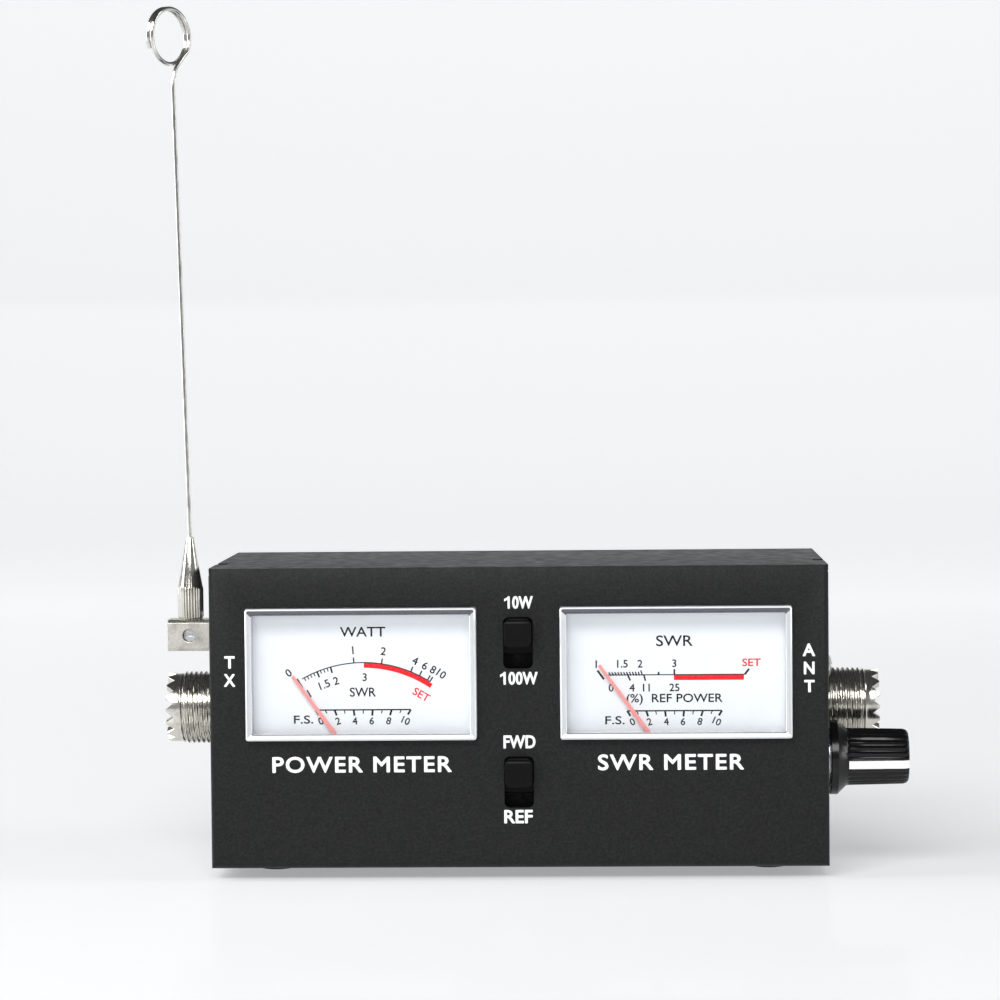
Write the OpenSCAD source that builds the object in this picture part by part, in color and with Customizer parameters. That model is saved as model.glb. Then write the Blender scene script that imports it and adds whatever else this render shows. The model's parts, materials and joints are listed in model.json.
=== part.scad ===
// Power, SWR and field strength meter in a folded steel cabinet.
// Millimetres. X runs to the right, Y from the front panel to the back, Z up from the table.
// The origin is under the middle of everything that the table carries, sockets and knob included.

/* [Cabinet] */
// Width of the cabinet
cabinet_w = 130; // [124:1:170]
// Height of the cabinet without its feet
cabinet_h = 63.5; // [60:0.5:90]
// Depth of the cabinet
cabinet_d = 60; // [54:1:100]
// Thickness of the folded sheet
sheet = 1.2; // [0.8:0.1:1.6]
// Outer radius of the bend under the front panel
bottom_bend = 2; // [1:0.1:3]
// Outer radius of the two upright front bends
side_bend = 1; // [0.5:0.1:1.5]
// Height of the rubber feet
foot_h = 2.5; // [1:0.5:8]
// Diameter of the rubber feet
foot_d = 9; // [6:0.5:14]

/* [Meters] */
// Width of a meter's clear cover
window_w = 48.4; // [42:0.1:50]
// Height of a meter's clear cover
window_h = 27.7; // [24:0.1:30]
// From the cabinet's top down to a clear cover
window_drop = 8.45; // [6:0.05:12]
// From the cabinet's side in to a clear cover
window_inset = 7.8; // [5:0.1:9]
// How far a clear cover stands out of the panel
window_proud = 2.2; // [1:0.1:4]
// Wall of the clear covers
window_wall = 1.2; // [0.8:0.1:1.6]
// Length of the power needle from pivot to tip
power_needle_l = 25; // [20:0.5:28]
// Length of the SWR needle from pivot to tip
swr_needle_l = 27.4; // [20:0.5:28]
// Angle of a needle at rest, left of upright
needle_rest = 35.8; // [30:0.1:40]

/* [Switches] */
// Travel of a switch lever
lever_travel = 4.4; // [3:0.1:5]
// Width of a switch lever
lever_w = 5.8; // [4:0.1:7]
// Height of a switch lever
lever_h = 6; // [4:0.1:7]
// How far a lever stands out of the panel
lever_proud = 3.6; // [2:0.1:6]
// Height of the range switch above the cabinet's bottom
range_switch_z = 47.5; // [44:0.1:52]
// Height of the function switch above the cabinet's bottom
function_switch_z = 18.2; // [14:0.1:22]

/* [Coaxial sockets] */
// Outside diameter of the socket thread
thread_d = 15.88; // [12:0.01:20]
// Length of the thread outside the cabinet
thread_l = 9.4; // [8:0.1:14]
// Length of the notched rim beyond the thread
rim_l = 3; // [2:0.1:4]
// Diameter of the plug's pin
plug_pin_d = 4; // [3:0.01:5]
// Side of the square socket flange
socket_flange = 25.4; // [24:0.1:30]
// Spacing of the flange's screw holes
flange_spacing = 18.26; // [17:0.01:22]
// Height of the socket axes above the table
socket_z = 33.6; // [30:0.1:40]
// Distance of the socket axes behind the front panel
socket_y = 32; // [30:0.5:45]

/* [Calibration knob] */
// Diameter of the knob's skirt
skirt_d = 16; // [14:0.1:17]
// Diameter of the knob's grip next to the skirt
grip_d = 12.2; // [11:0.1:13]
// From the cabinet's side out to the knob's end
knob_out = 17.3; // [14:0.1:24]
// Diameter of the control's shaft
shaft_d = 6; // [5:0.1:6.4]
// Height of the knob's axis above the table
knob_z = 24.4; // [22:0.1:30]
// Distance of the knob's axis behind the front panel
knob_y = 11.5; // [10:0.1:12]
// Angle of the white line below the front
knob_line_angle = 11; // [0:1:30]

/* [Field strength antenna] */
// Height and depth of the swivel block
block_h = 6.7; // [5:0.1:9]
// From the cabinet's side out to the block's end
block_out = 10.1; // [10:0.1:16]
// Height of the block's axis above the table
block_z = 51.1; // [48:0.1:56]
// Distance of the block's axis behind the front panel
block_y = 14; // [10:0.5:15]
// Diameter of the knurled ferrule
ferrule_d = 5.5; // [4.5:0.1:6.5]
// Height of the ferrule's knurled part
knurl_h = 6.9; // [5:0.1:10]
// Height of the ferrule's cone
cone_h = 10.7; // [8:0.1:16]
// Diameter of the whip wire
whip_d = 1; // [0.8:0.1:1.2]
// Length of the straight wire above the ferrule
whip_l = 99.3; // [60:0.1:160]
// Lean of the wire away from the cabinet, in degrees
whip_lean = 1.4; // [0:0.1:3]
// Outside diameter of the ring at the whip's tip
ring_d = 12.7; // [11:0.1:20]

/* [Hidden] */

$fn = 64;
eps = 0.01;             // overrun of a cut past a face
slip = 0.05;            // radial clearance of a shaft in its hole
gap = 0.2;              // clearance between pieces that only stand beside each other

// Cabinet
half_w = cabinet_w / 2;
top_z = foot_h + cabinet_h;
corner_bevel = [0.6, 1.7];      // cut at the front panel's two upper corners
rear_flange = 8;                // folded edges that the cover screws into
notch = [2.3, 4];               // relief notches at the cover's side edges
notch_y = 14.5;                 // front of the notches
foot_inset = [12, 20, 12];      // middle of a foot from the cabinet's sides, front and back
cover_screw_d = 3;
cover_screw_h = 1.6;
cover_screw_x = half_w - rear_flange / 2 - 1;
cover_screw_z = [foot_h + rear_flange / 2 + 1, top_z - 10];

// Meters
meter_x = half_w - window_inset - window_w / 2;
window_top = top_z - window_drop;
window_z = window_top - window_h / 2;
window_bottom = window_top - window_h;
dial_t = 0.4;
dial_y = sheet + 2;             // front face of the dial
dial_side = 0.3;                // dial's ends inside the clear cover's sides
dial_low = 0.6;                 // dial's lower edge above the clear cover's
dial_high = 1.5;                // dial's upper edge below the clear cover's
tray_t = 1.4;                   // floor of the meter case behind the dial
tray_rim = 1.6;                 // rim of the case around the clear cover
tray_back = dial_y + dial_t + tray_t;
pivot_drop = 7.05;              // pivot below the clear cover
pivot_z = window_bottom - pivot_drop;
housing_w = 23;                 // box around the movement
housing_back = 18;
housing_wall = 1.2;
housing_half = 10.8;            // above and below the pivot
post = [1.4, 4];                // posts behind the yoke, across and high
needle_y = sheet + 0.8;         // middle of the needle's blade
needle_w = 0.7;
needle_t = 0.3;
arm_y = 4.3;                    // middle of the needle's arm behind the dial's plane
step_r = 5;                     // radius where the needle steps forward
tail_l = 5;                     // counterweight
staff_d = 0.8;                  // pivot staffs
coil_r = 6;                     // middle of the coil's upright sides
coil_t = 1;
coil_w = 2;
core_d = 9.6;
core_y = [6, 13];
yoke_d = 19;
yoke_bore = 14.6;
bridge_w = 4;
bridge_t = 0.8;
terminal_x = 7;
terminal_z = 5;                 // terminals below the pivot
lug_l = 1.8;                    // flat end of a terminal behind its collar
lug_t = 0.6;

// Switches
slot_w = lever_w + 2 * gap;
slot_h = lever_h + lever_travel + 2 * gap;
slot_r = 1.2;
lever_edge = 0.5;               // bevel around the lever's end
lever_corner = 0.8;             // bevel of the lever's four long edges
switch_w = 10.4;
switch_h = 19;
switch_back = 8.3;
switch_face = 0.9;
slider = [7.6, 9.6, 2];         // wide part of the lever inside the body
board_y = switch_back + 0.1;
board_t = 1.6;
switch_board_w = 13;
stud_d = 2.5;
stud_end = 2.6;                 // end of the studs behind the board
stud_z = [foot_h + 33, foot_h + 4.5];
contact_pitch = 4;

// Sockets
flange_t = 1.6;
thread_gap = 0.2;               // thread starts just clear of the cabinet's side
neck_d = thread_d - 0.4;
rim_d = thread_d - 0.9;
rim_end = thread_gap + thread_l + rim_l;
notches = 16;
insulator_d = thread_d - 4.3;
insulator_recess = 3.2;
insulator_end = rim_end - insulator_recess;
contact_d = plug_pin_d + 1.2;
contact_depth = 12;
cup_d = 3.8;
cup_end = sheet + 12.8;         // end of the solder cup inside the cabinet
screw_d = 3;
screw_head_d = 5.6;
screw_head_h = 2.2;
nut_w = 5.5;
nut_h = 2.4;

// Knob and control
skirt_gap = 0.7;                // between the cabinet's side and the skirt
skirt_l = 1.7;                  // plain part of the skirt
grip_start = 4.1;               // where the cone from the skirt meets the grip
grip_end_d = grip_d - 0.6;
line_w = 1.7;
line_t = 0.5;
pot_size = [9.8, 11, 6.8];      // body along Y, Z and into the cabinet
bushing_d = 7;
bushing_l = 4.4;
pot_nut_w = 10;
pot_nut_h = 2;
nut_recess_d = 12.8;            // around the nut, and around the end of the bushing
nut_recess_l = 2.9;
bushing_recess_d = 8;
bushing_recess_l = 4.8;
shaft_out = 14;                 // end of the shaft beyond the cabinet's side

// Coupler
coupler_z = socket_z - cup_d / 2;       // top of the board, under the solder cups
coupler_t = 1.6;
coupler_y = [socket_y - 11, socket_y + 14];
coupler_half = half_w - 9;
line_rod_d = 1.6;
pickup_y = 4;                           // pickup lines beside the main line
pickup_half = coupler_half - 18;
trace_t = 0.2;

// Antenna
block_w = block_out - 0.9;              // from the bush's flange to the outer end
bush_d = 6;
bush_flange_d = 9;
bush_flange_t = 0.7;
shank_d = 4;
whip_out = 5.45;                        // whip's axis beyond the cabinet's side
whip_x = -(half_w + whip_out);
cross_hole_d = 2.8;
tag_t = 0.4;                            // solder tag under the nut
block_nut_h = 2.2;
shank_in = 3.4;                         // end of the block's shank beyond the bush, inside the cabinet
ferrule_shank_d = 3;
shank_below = 1.4;                      // end of the ferrule's shank below the block's axis
ferrule_z = block_z + block_h / 2;
ferrule_top = ferrule_z + knurl_h + cone_h;
cone_top_d = whip_d + 0.5;
ring_turn = 58;                         // turn of the ring about the wire
ring_r = (ring_d - whip_d) / 2;         // to the middle of the wire
ring_shift = 0.35;                      // ring's middle beside the wire
ring_turns = 1.65;
ring_pitch = whip_d + 0.05;
whip_sides = 10;

// Middle of the whole footprint, from the knob to the ring and from the levers to the rear screws
left_reach = half_w + whip_out + whip_l * sin(whip_lean) + ring_shift
    + ring_r * cos(ring_turn) + whip_d / 2;
right_reach = half_w + knob_out;
origin_x = (right_reach - left_reach) / 2;
origin_y = (cabinet_d + cover_screw_h - lever_proud) / 2;

// ---------- Helpers ----------

// Puts a piece drawn from the middle of the front panel's foot line into the part's own frame
module placed() translate([-origin_x, -origin_y, 0]) children();

// A box by its lowest and highest corners
module box(low, high) translate(low) cube(high - low);

// A cylinder along Y from one depth to another
module rod_y(d, y0, y1) translate([0, y0, 0]) rotate([-90, 0, 0]) cylinder(d = d, h = y1 - y0);

// Local Z points out of the cabinet's left or right side, with 0 at the side's outer face
module out_of_side(side, y, z) translate([side * half_w, y, z]) rotate([0, side * 90, 0]) children();

// The sliver outside a round corner of radius r at the origin, its centre at [r, r]
module corner_sliver(r, l) difference() {
    translate([-eps, -eps, 0]) cube([r + eps, r + eps, l]);
    translate([r, r, -eps]) cylinder(r = r, h = l + 2 * eps);
}

// A pan head screw along Z: the head's flat underside at 0, the shank below it
module pan_screw(d, head_d, head_h, l) difference() {
    union() {
        translate([0, 0, -l]) cylinder(d = d, h = l + eps);
        intersection() {
            cylinder(d = head_d, h = head_h);
            translate([0, 0, head_h - head_d * 0.75]) sphere(r = head_d * 0.75);
        }
    }
    for (a = [0, 90]) rotate(a) translate([-head_d * 0.3, -0.4, head_h * 0.45])
        cube([head_d * 0.6, 0.8, head_h]);
}

// A hexagon nut along Z from 0
module nut(across, bore, h) difference() {
    cylinder(d = across / cos(30), h = h, $fn = 6);
    translate([0, 0, -eps]) cylinder(d = bore, h = h + 2 * eps);
}

// An upright slot with round corners, through Y
module slot_cut(w, h, r, y0, y1) {
    box([-w / 2 + r, y0, -h / 2], [w / 2 - r, y1, h / 2]);
    box([-w / 2, y0, -h / 2 + r], [w / 2, y1, h / 2 - r]);
    for (x = [-1, 1], z = [-1, 1]) translate([x * (w / 2 - r), 0, z * (h / 2 - r)]) rod_y(2 * r, y0, y1);
}

// Unit vector, and the part of v square to the unit vector t
function unit(v) = v / norm(v);
function square_to(v, t) = unit(v - (v * t) * t);
function heading(p, i) = unit(p[min(i + 1, len(p) - 1)] - p[max(i - 1, 0)]);

// A side direction for every point, carried along the path without twist
function carried(p, i) = i == 0
    ? square_to(abs(heading(p, 0) * [1, 0, 0]) > 0.8 ? [0, 1, 0] : [1, 0, 0], heading(p, 0))
    : square_to(carried(p, i - 1), heading(p, i));

// A round wire through the points of a path
module wire(p, d, sides) {
    n = len(p);
    points = [for (i = [0 : n - 1])
        let (t = heading(p, i), u = carried(p, i), v = cross(t, u))
        for (k = [0 : sides - 1]) p[i] + d / 2 * (cos(360 * k / sides) * u + sin(360 * k / sides) * v)];
    walls = [for (i = [0 : n - 2], k = [0 : sides - 1])
        let (a = i * sides + k, b = i * sides + (k + 1) % sides) [a, a + sides, b + sides, b]];
    ends = [[for (k = [0 : sides - 1]) k], [for (k = [sides - 1 : -1 : 0]) (n - 1) * sides + k]];
    polyhedron(points, concat(walls, ends), convexity = 4);
}

// A cubic curve that leaves a along u and arrives at b along v, with a short straight stretch at each end
straight = 0.4;
function route(a, u, b, v, n = 9) = let (c = a + straight * unit(u), d = b - straight * unit(v)) concat([a],
    [for (i = [0 : n]) let (t = i / n, s = 1 - t)
        s * s * s * c + 3 * s * s * t * (c + u) + 3 * s * t * t * (d - v) + t * t * t * d], [b]);

// ---------- Cabinet ----------

// Front, both sides and bottom, folded from one sheet, with a narrow flange behind for the cover
module chassis() color("#2f3133") placed() {
    low = foot_h;
    wall_top = top_z - sheet - 0.05;
    back = cabinet_d - sheet - 0.05;
    difference() {
        union() {
            box([-half_w, 0, low], [half_w, back, wall_top]);
            box([-half_w, 0, low], [half_w, sheet, top_z]);
        }
        box([-half_w + sheet, sheet, low + sheet], [half_w - sheet, back - sheet, top_z + 1]);
        box([-half_w + rear_flange, back - 2 * sheet, low + rear_flange],
            [half_w - rear_flange, back + 1, top_z + 1]);
        // bends
        for (s = [-1, 1]) scale([s, 1, 1]) translate([-half_w, 0, low - 1])
            corner_sliver(side_bend, cabinet_h + 2);
        translate([half_w + 1, 0, low]) rotate([0, -90, 0]) corner_sliver(bottom_bend, cabinet_w + 2);
        // bevelled upper corners
        for (s = [-1, 1]) translate([s * half_w, -1, top_z]) rotate([-90, 0, 0])
            linear_extrude(sheet + 2) polygon([[0, -1], [s, 0], [0, corner_bevel[1]],
                [-s * corner_bevel[0], 0], [-s * corner_bevel[0], -1]]);
        // meter windows
        for (s = [-1, 1]) box([s * meter_x - window_w / 2 - gap, -1, window_bottom - gap],
            [s * meter_x + window_w / 2 + gap, sheet + 1, window_top + gap]);
        // switch slots
        for (z = [range_switch_z, function_switch_z]) translate([0, 0, low + z])
            slot_cut(slot_w, slot_h, slot_r, -1, sheet + 1);
        // sockets
        for (s = [-1, 1]) out_of_side(s, socket_y, socket_z) {
            translate([0, 0, -sheet - 1]) cylinder(d = neck_d + 2 * gap, h = sheet + 2);
            for (x = [-1, 1], y = [-1, 1]) translate([x, y, 0] * flange_spacing / 2
                + [0, 0, -sheet - 1]) cylinder(d = screw_d + 0.4, h = sheet + 2);
        }
        // control and antenna
        out_of_side(1, knob_y, knob_z) translate([0, 0, -sheet - 1])
            cylinder(d = bushing_d + 2 * slip, h = sheet + 2);
        out_of_side(-1, block_y, block_z) translate([0, 0, -sheet - 1])
            cylinder(d = bush_d + 2 * slip, h = sheet + 2);
        // cover screws
        for (x = [-1, 1], z = cover_screw_z) translate([x * cover_screw_x, 0, z])
            rod_y(cover_screw_d - 0.4, back - 2 * sheet, back + 1);
    }
}

// Top and back of the cabinet, folded from one sheet
module cabinet_cover() color("#3a3c3e") placed() {
    seam = sheet + 0.15;
    difference() {
        union() {
            box([-half_w, seam, top_z - sheet], [half_w, cabinet_d, top_z]);
            box([-half_w, cabinet_d - sheet, foot_h + 0.3], [half_w, cabinet_d, top_z]);
        }
        for (s = [-1, 1]) box([s < 0 ? -half_w - 1 : half_w - notch[0], notch_y, top_z - sheet - 1],
            [s < 0 ? -half_w + notch[0] : half_w + 1, notch_y + notch[1], top_z + 1]);
        translate([half_w + 1, cabinet_d, top_z]) rotate([0, -90, 0]) rotate(180)
            corner_sliver(bottom_bend, cabinet_w + 2);
        for (x = [-1, 1], z = cover_screw_z) translate([x * cover_screw_x, 0, z])
            rod_y(cover_screw_d + 0.4, cabinet_d - sheet - 1, cabinet_d + 1);
    }
}

module cover_screws() color("#b9bcbf") placed()
    for (x = [-1, 1], z = cover_screw_z) translate([x * cover_screw_x, cabinet_d, z])
        rotate([-90, 0, 0]) pan_screw(cover_screw_d - 0.4, 5.4, cover_screw_h, 5);

module rubber_feet() color("#1b1b1c") placed()
    for (x = [-1, 1], y = [foot_inset[1], cabinet_d - foot_inset[2]])
        translate([x * (half_w - foot_inset[0]), y, 0])
            cylinder(d1 = foot_d - 1, d2 = foot_d, h = foot_h);

// ---------- Meters: x is the middle of the clear cover ----------

// Black tray behind the dial, with the box that holds the movement below it
module meter_case(x) color("#202124") placed() {
    rim_w = window_w + 2 * (gap / 2 + tray_rim);
    rim_low = window_bottom - gap / 2;
    rim_high = window_top + gap / 2 + tray_rim;
    low = pivot_z - housing_half;
    high = pivot_z + housing_half;
    inner_w = housing_w - 2 * housing_wall;
    difference() {
        union() {
            box([x - rim_w / 2, sheet, rim_low], [x + rim_w / 2, tray_back, rim_high]);
            box([x - housing_w / 2, sheet, low], [x + housing_w / 2, housing_back, high]);
        }
        // pocket for the clear cover and the dial
        box([x - window_w / 2 - gap / 2, 0, rim_low - 1],
            [x + window_w / 2 + gap / 2, dial_y + dial_t, window_top + gap / 2]);
        // inside of the movement's box, open to the pocket
        box([x - inner_w / 2, 0, low + housing_wall],
            [x + inner_w / 2, housing_back - housing_wall, high - housing_wall]);
        for (s = [-1, 1]) translate([x + s * terminal_x, 0, pivot_z - terminal_z])
            rod_y(2, housing_back - housing_wall - 1, housing_back + 1);
    }
    for (s = [-1, 1]) translate([x + s * (yoke_d + yoke_bore) / 4, 0, pivot_z])
        box([-post[0] / 2, core_y[1], -post[1] / 2], [post[0] / 2, housing_back - housing_wall + eps, post[1] / 2]);
}

// Clear cover: a face and four walls, the lower wall short so that the needle passes behind it
module meter_window(x) color("#dfe9f2", 0.35) placed() difference() {
    union() {
        box([x - window_w / 2, -window_proud, window_bottom], [x + window_w / 2, sheet, window_top]);
        box([x - window_w / 2, 0, window_bottom + 1.4], [x + window_w / 2, dial_y, window_top]);
    }
    box([x - window_w / 2 + window_wall, window_wall - window_proud, window_bottom + window_wall],
        [x + window_w / 2 - window_wall, dial_y + 1, window_top - window_wall]);
    box([x - window_w / 2 + window_wall, sheet, window_bottom - 1],
        [x + window_w / 2 - window_wall, dial_y + 1, window_bottom + 4]);
}

// White printed plate, cut away below where the needle's arm passes
module meter_dial(x) color("#f2f4f8") placed()
    box([x - window_w / 2 + dial_side, dial_y + 0.02, window_bottom + dial_low],
        [x + window_w / 2 - dial_side, dial_y + dial_t - 0.02, window_top - dial_high]);

// Needle with its arm, hub, counterweight and front staff
module meter_needle(x, l) color("#f0848a") placed() translate([x, 0, pivot_z])
    rotate([0, -needle_rest, 0]) {
        box([-needle_w / 2, needle_y - needle_t / 2, step_r], [needle_w / 2, needle_y + needle_t / 2, l]);
        box([-needle_w / 2, needle_y - needle_t / 2, step_r], [needle_w / 2, arm_y + needle_t / 2, step_r + 0.4]);
        box([-needle_w / 2, arm_y - needle_t / 2, -tail_l], [needle_w / 2, arm_y + needle_t / 2, step_r + 0.4]);
        rod_y(1.8, arm_y - 0.2, arm_y + 0.3);
        translate([0, 0, -tail_l + 0.8]) rod_y(1.6, arm_y - 0.4, arm_y + 0.3);
        rod_y(staff_d, sheet + 1.1, arm_y);
    }

// Coil: an upright frame around the core, with the rear staff; it turns with the needle
module meter_coil(x) color("#b8683c") placed() translate([x, 0, pivot_z])
    rotate([0, -needle_rest, 0]) {
        front = arm_y + 0.3;
        back = core_y[1] + 0.6 + coil_t;
        difference() {
            box([-coil_r - coil_t / 2, front, -coil_w / 2], [coil_r + coil_t / 2, back, coil_w / 2]);
            box([-coil_r + coil_t / 2, front + coil_t, -coil_w], [coil_r - coil_t / 2, back - coil_t, coil_w]);
        }
        rod_y(staff_d, back - eps, back + 1.6);
    }

// Magnet inside the coil, held to the yoke by a brass-coloured spacer above and below
module meter_core(x) color("#75787c") placed() translate([x, 0, pivot_z]) {
    rod_y(core_d, core_y[0], core_y[1]);
    difference() {
        box([-2, core_y[0] + 1, -yoke_bore / 2 - 0.3], [2, core_y[1] - 1, yoke_bore / 2 + 0.3]);
        difference() {
            rod_y(yoke_bore + 4, core_y[0], core_y[1]);
            rod_y(yoke_bore, core_y[0] - 1, core_y[1] + 1);
        }
    }
}

// Soft iron ring around the coil
module meter_yoke(x) color("#8d9094") placed() translate([x, 0, pivot_z]) difference() {
    rod_y(yoke_d, core_y[0], core_y[1]);
    rod_y(yoke_bore, core_y[0] - 1, core_y[1] + 1);
}

// Front and rear brass bridges with the staffs' bearings, standing on the yoke
module meter_bridges(x) color("#c9a14e") placed() translate([x, 0, pivot_z]) {
    bearing = staff_d + 2 * slip;
    front = sheet + 1;
    back = core_y[1] + 0.6 + coil_t + 0.8;
    foot = (yoke_d + yoke_bore) / 4;
    difference() {
        union() {
            box([-bridge_w / 2, front, -foot - 1], [bridge_w / 2, front + bridge_t, 1.6]);
            box([-bridge_w / 2, front, -foot - 1], [bridge_w / 2, core_y[0], -foot + 0.6]);
        }
        rod_y(bearing, front - 1, front + bridge_t + 1);
    }
    difference() {
        union() {
            box([-bridge_w / 2, back, -foot - 1], [bridge_w / 2, back + bridge_t, 1.6]);
            box([-bridge_w / 2, core_y[1], -foot - 1], [bridge_w / 2, back + bridge_t, -foot + 0.6]);
        }
        rod_y(bearing, back - 1, back + bridge_t + 1);
    }
}

// A flat spiral spring around the front staff, drawn as its rings
module meter_springs(x) color("#d8b66a") placed() translate([x, 0, pivot_z])
    for (r = [1.2, 1.8, 2.4]) difference() {
        rod_y(2 * r + 0.2, arm_y - 0.75, arm_y - 0.5);
        rod_y(2 * r, arm_y - 1, arm_y);
    }

// Two solder terminals through the back of the case
module meter_terminals(x) color("#cfd2d4") placed()
    for (s = [-1, 1]) translate([x + s * terminal_x, 0, pivot_z - terminal_z]) {
        rod_y(2 - 2 * slip, housing_back - housing_wall - 0.6, housing_back + 0.8);
        rod_y(3, housing_back + eps, housing_back + 0.5);
        box([-0.9, housing_back + 0.5, -lug_t / 2], [0.9, housing_back + 0.5 + lug_l, lug_t / 2]);
    }

module power_case() meter_case(-meter_x);
module power_window() meter_window(-meter_x);
module power_dial() meter_dial(-meter_x);
module power_needle() meter_needle(-meter_x, power_needle_l);
module power_coil() meter_coil(-meter_x);
module power_core() meter_core(-meter_x);
module power_yoke() meter_yoke(-meter_x);
module power_bridges() meter_bridges(-meter_x);
module power_springs() meter_springs(-meter_x);
module power_terminals() meter_terminals(-meter_x);
module swr_case() meter_case(meter_x);
module swr_window() meter_window(meter_x);
module swr_dial() meter_dial(meter_x);
module swr_needle() meter_needle(meter_x, swr_needle_l);
module swr_coil() meter_coil(meter_x);
module swr_core() meter_core(meter_x);
module swr_yoke() meter_yoke(meter_x);
module swr_bridges() meter_bridges(meter_x);
module swr_springs() meter_springs(meter_x);
module swr_terminals() meter_terminals(meter_x);

// ---------- Switches: z is the middle of the slot above the cabinet's bottom ----------

// Metal box of a slide switch, its face against the back of the panel
module switch_body(z) color("#a9adb0") placed() translate([0, 0, foot_h + z]) difference() {
    front = sheet + 0.05;
    box([-switch_w / 2, front, -switch_h / 2], [switch_w / 2, switch_back, switch_h / 2]);
    box([-slider[0] / 2 - gap, front + switch_face, -(slider[1] + lever_travel) / 2 - gap],
        [slider[0] / 2 + gap, front + switch_face + slider[2] + 2 * gap, (slider[1] + lever_travel) / 2 + gap]);
    slot_cut(slot_w, slot_h, slot_r, 0, front + switch_face + 1);
}

// Lever in its upper position: a stem with bevelled ends on a wide slider
module switch_lever(z) color("#0d0d0e") placed() translate([0, 0, foot_h + z + lever_travel / 2]) {
    slider_y = sheet + 0.05 + switch_face + gap;
    w = lever_w / 2;
    h = lever_h / 2;
    intersection() {
        rotate([0, -90, 0]) translate([0, 0, -w]) linear_extrude(lever_w)
            polygon([[-h, slider_y + eps], [h, slider_y + eps], [h, lever_edge - lever_proud],
                [h - lever_edge, -lever_proud], [lever_edge - h, -lever_proud], [-h, lever_edge - lever_proud]]);
        translate([0, slider_y + 1, 0]) rotate([90, 0, 0]) linear_extrude(slider_y + lever_proud + 2)
            polygon([for (c = [[1, 1], [-1, 1], [-1, -1], [1, -1]], k = [0, 1])
                let (first = c[0] * c[1] > 0 ? k : 1 - k)
                [c[0] * (w - first * lever_corner), c[1] * (h - (1 - first) * lever_corner)]]);
    }
    box([-slider[0] / 2, slider_y, -slider[1] / 2], [slider[0] / 2, slider_y + slider[2], slider[1] / 2]);
}

module range_switch_body() switch_body(range_switch_z);
module range_switch_lever() switch_lever(range_switch_z);
module function_switch_body() switch_body(function_switch_z);
module function_switch_lever() switch_lever(function_switch_z);

// Six pins behind each switch, through the board
module switch_terminals() color("#d4d6d8") placed()
    for (z = [range_switch_z, function_switch_z], x = [-1, 1], k = [-1, 0, 1])
        translate([x * 2.5, 0, foot_h + z + k * contact_pitch])
            rod_y(0.9, switch_back - eps + 0.01, board_y + board_t + 1.2);

// Upright board that carries both switches
module switch_board() color("#b98b45") placed() difference() {
    box([-switch_board_w / 2, board_y, foot_h + 2.2], [switch_board_w / 2, board_y + board_t,
        foot_h + range_switch_z + switch_h / 2 + 1]);
    for (z = stud_z) translate([0, 0, z]) rod_y(stud_d + 0.3, board_y - 1, board_y + board_t + 1);
    for (z = [range_switch_z, function_switch_z], x = [-1, 1], k = [-1, 0, 1])
        translate([x * 2.5, 0, foot_h + z + k * contact_pitch])
            rod_y(0.9 + 2 * slip, board_y - 1, board_y + board_t + 1);
}

// Weld studs on the back of the panel, and the nuts that hold the board on them
module switch_board_studs() color("#b9bcbf") placed()
    for (z = stud_z) translate([0, 0, z]) {
        rod_y(stud_d, sheet + eps, board_y + board_t + stud_end);
        translate([0, board_y + board_t + 0.02, 0]) rotate([-90, 0, 0]) nut(5, stud_d + 0.04, 2);
    }

// ---------- Coaxial sockets ----------

// Nickelled shell: square flange inside the cabinet, threaded barrel and notched rim outside
module socket_shell(side) color("#c9c7bd") placed() out_of_side(side, socket_y, socket_z) {
    back = -sheet - flange_t;
    half = socket_flange / 2;
    difference() {
        union() {
            box([-half, -half, back], [half, half, -sheet - 0.02]);
            translate([0, 0, back]) cylinder(d = neck_d, h = thread_gap - back);
            translate([0, 0, thread_gap]) cylinder(d = thread_d, h = thread_l);
            translate([0, 0, thread_gap]) cylinder(d = rim_d, h = rim_end - thread_gap);
        }
        translate([0, 0, back - 1]) cylinder(d = insulator_d, h = rim_end - back + 2);
        for (x = [-1, 1], y = [-1, 1]) translate([x, y, 0] * flange_spacing / 2 + [0, 0, back - 1])
            cylinder(d = screw_d + 2 * slip, h = flange_t + 2);
        for (i = [0 : notches - 1]) rotate(360 * i / notches) translate([rim_d / 2, 0, rim_end + 0.2])
            rotate([45, 0, 0]) cube([rim_d - insulator_d + 2, 1.9, 1.9], center = true);
    }
}

// Cream insulator pressed into the shell
module socket_insulator(side) color("#efe6d0") placed() out_of_side(side, socket_y, socket_z) {
    back = -sheet - flange_t - 1.2;
    difference() {
        translate([0, 0, back]) cylinder(d = insulator_d, h = insulator_end - back);
        translate([0, 0, back - 1]) cylinder(d = contact_d, h = insulator_end - back + 2);
    }
}

// Silvered centre contact: a tube for the plug's pin, and a solder cup inside the cabinet
module socket_contact(side) color("#d9d8cf") placed() out_of_side(side, socket_y, socket_z) {
    difference() {
        union() {
            translate([0, 0, -sheet - flange_t - 1.2])
                cylinder(d = contact_d, h = insulator_end + sheet + flange_t + 1.2);
            translate([0, 0, -cup_end]) cylinder(d = cup_d, h = cup_end - sheet - flange_t);
        }
        translate([0, 0, insulator_end - contact_depth]) cylinder(d = plug_pin_d, h = contact_depth + 1);
        translate([0, 0, -cup_end - 1]) cylinder(d = line_rod_d + 2 * slip, h = 4);
    }
}

module tx_socket_shell() socket_shell(-1);
module tx_socket_insulator() socket_insulator(-1);
module tx_socket_contact() socket_contact(-1);
module ant_socket_shell() socket_shell(1);
module ant_socket_insulator() socket_insulator(1);
module ant_socket_contact() socket_contact(1);

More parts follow.
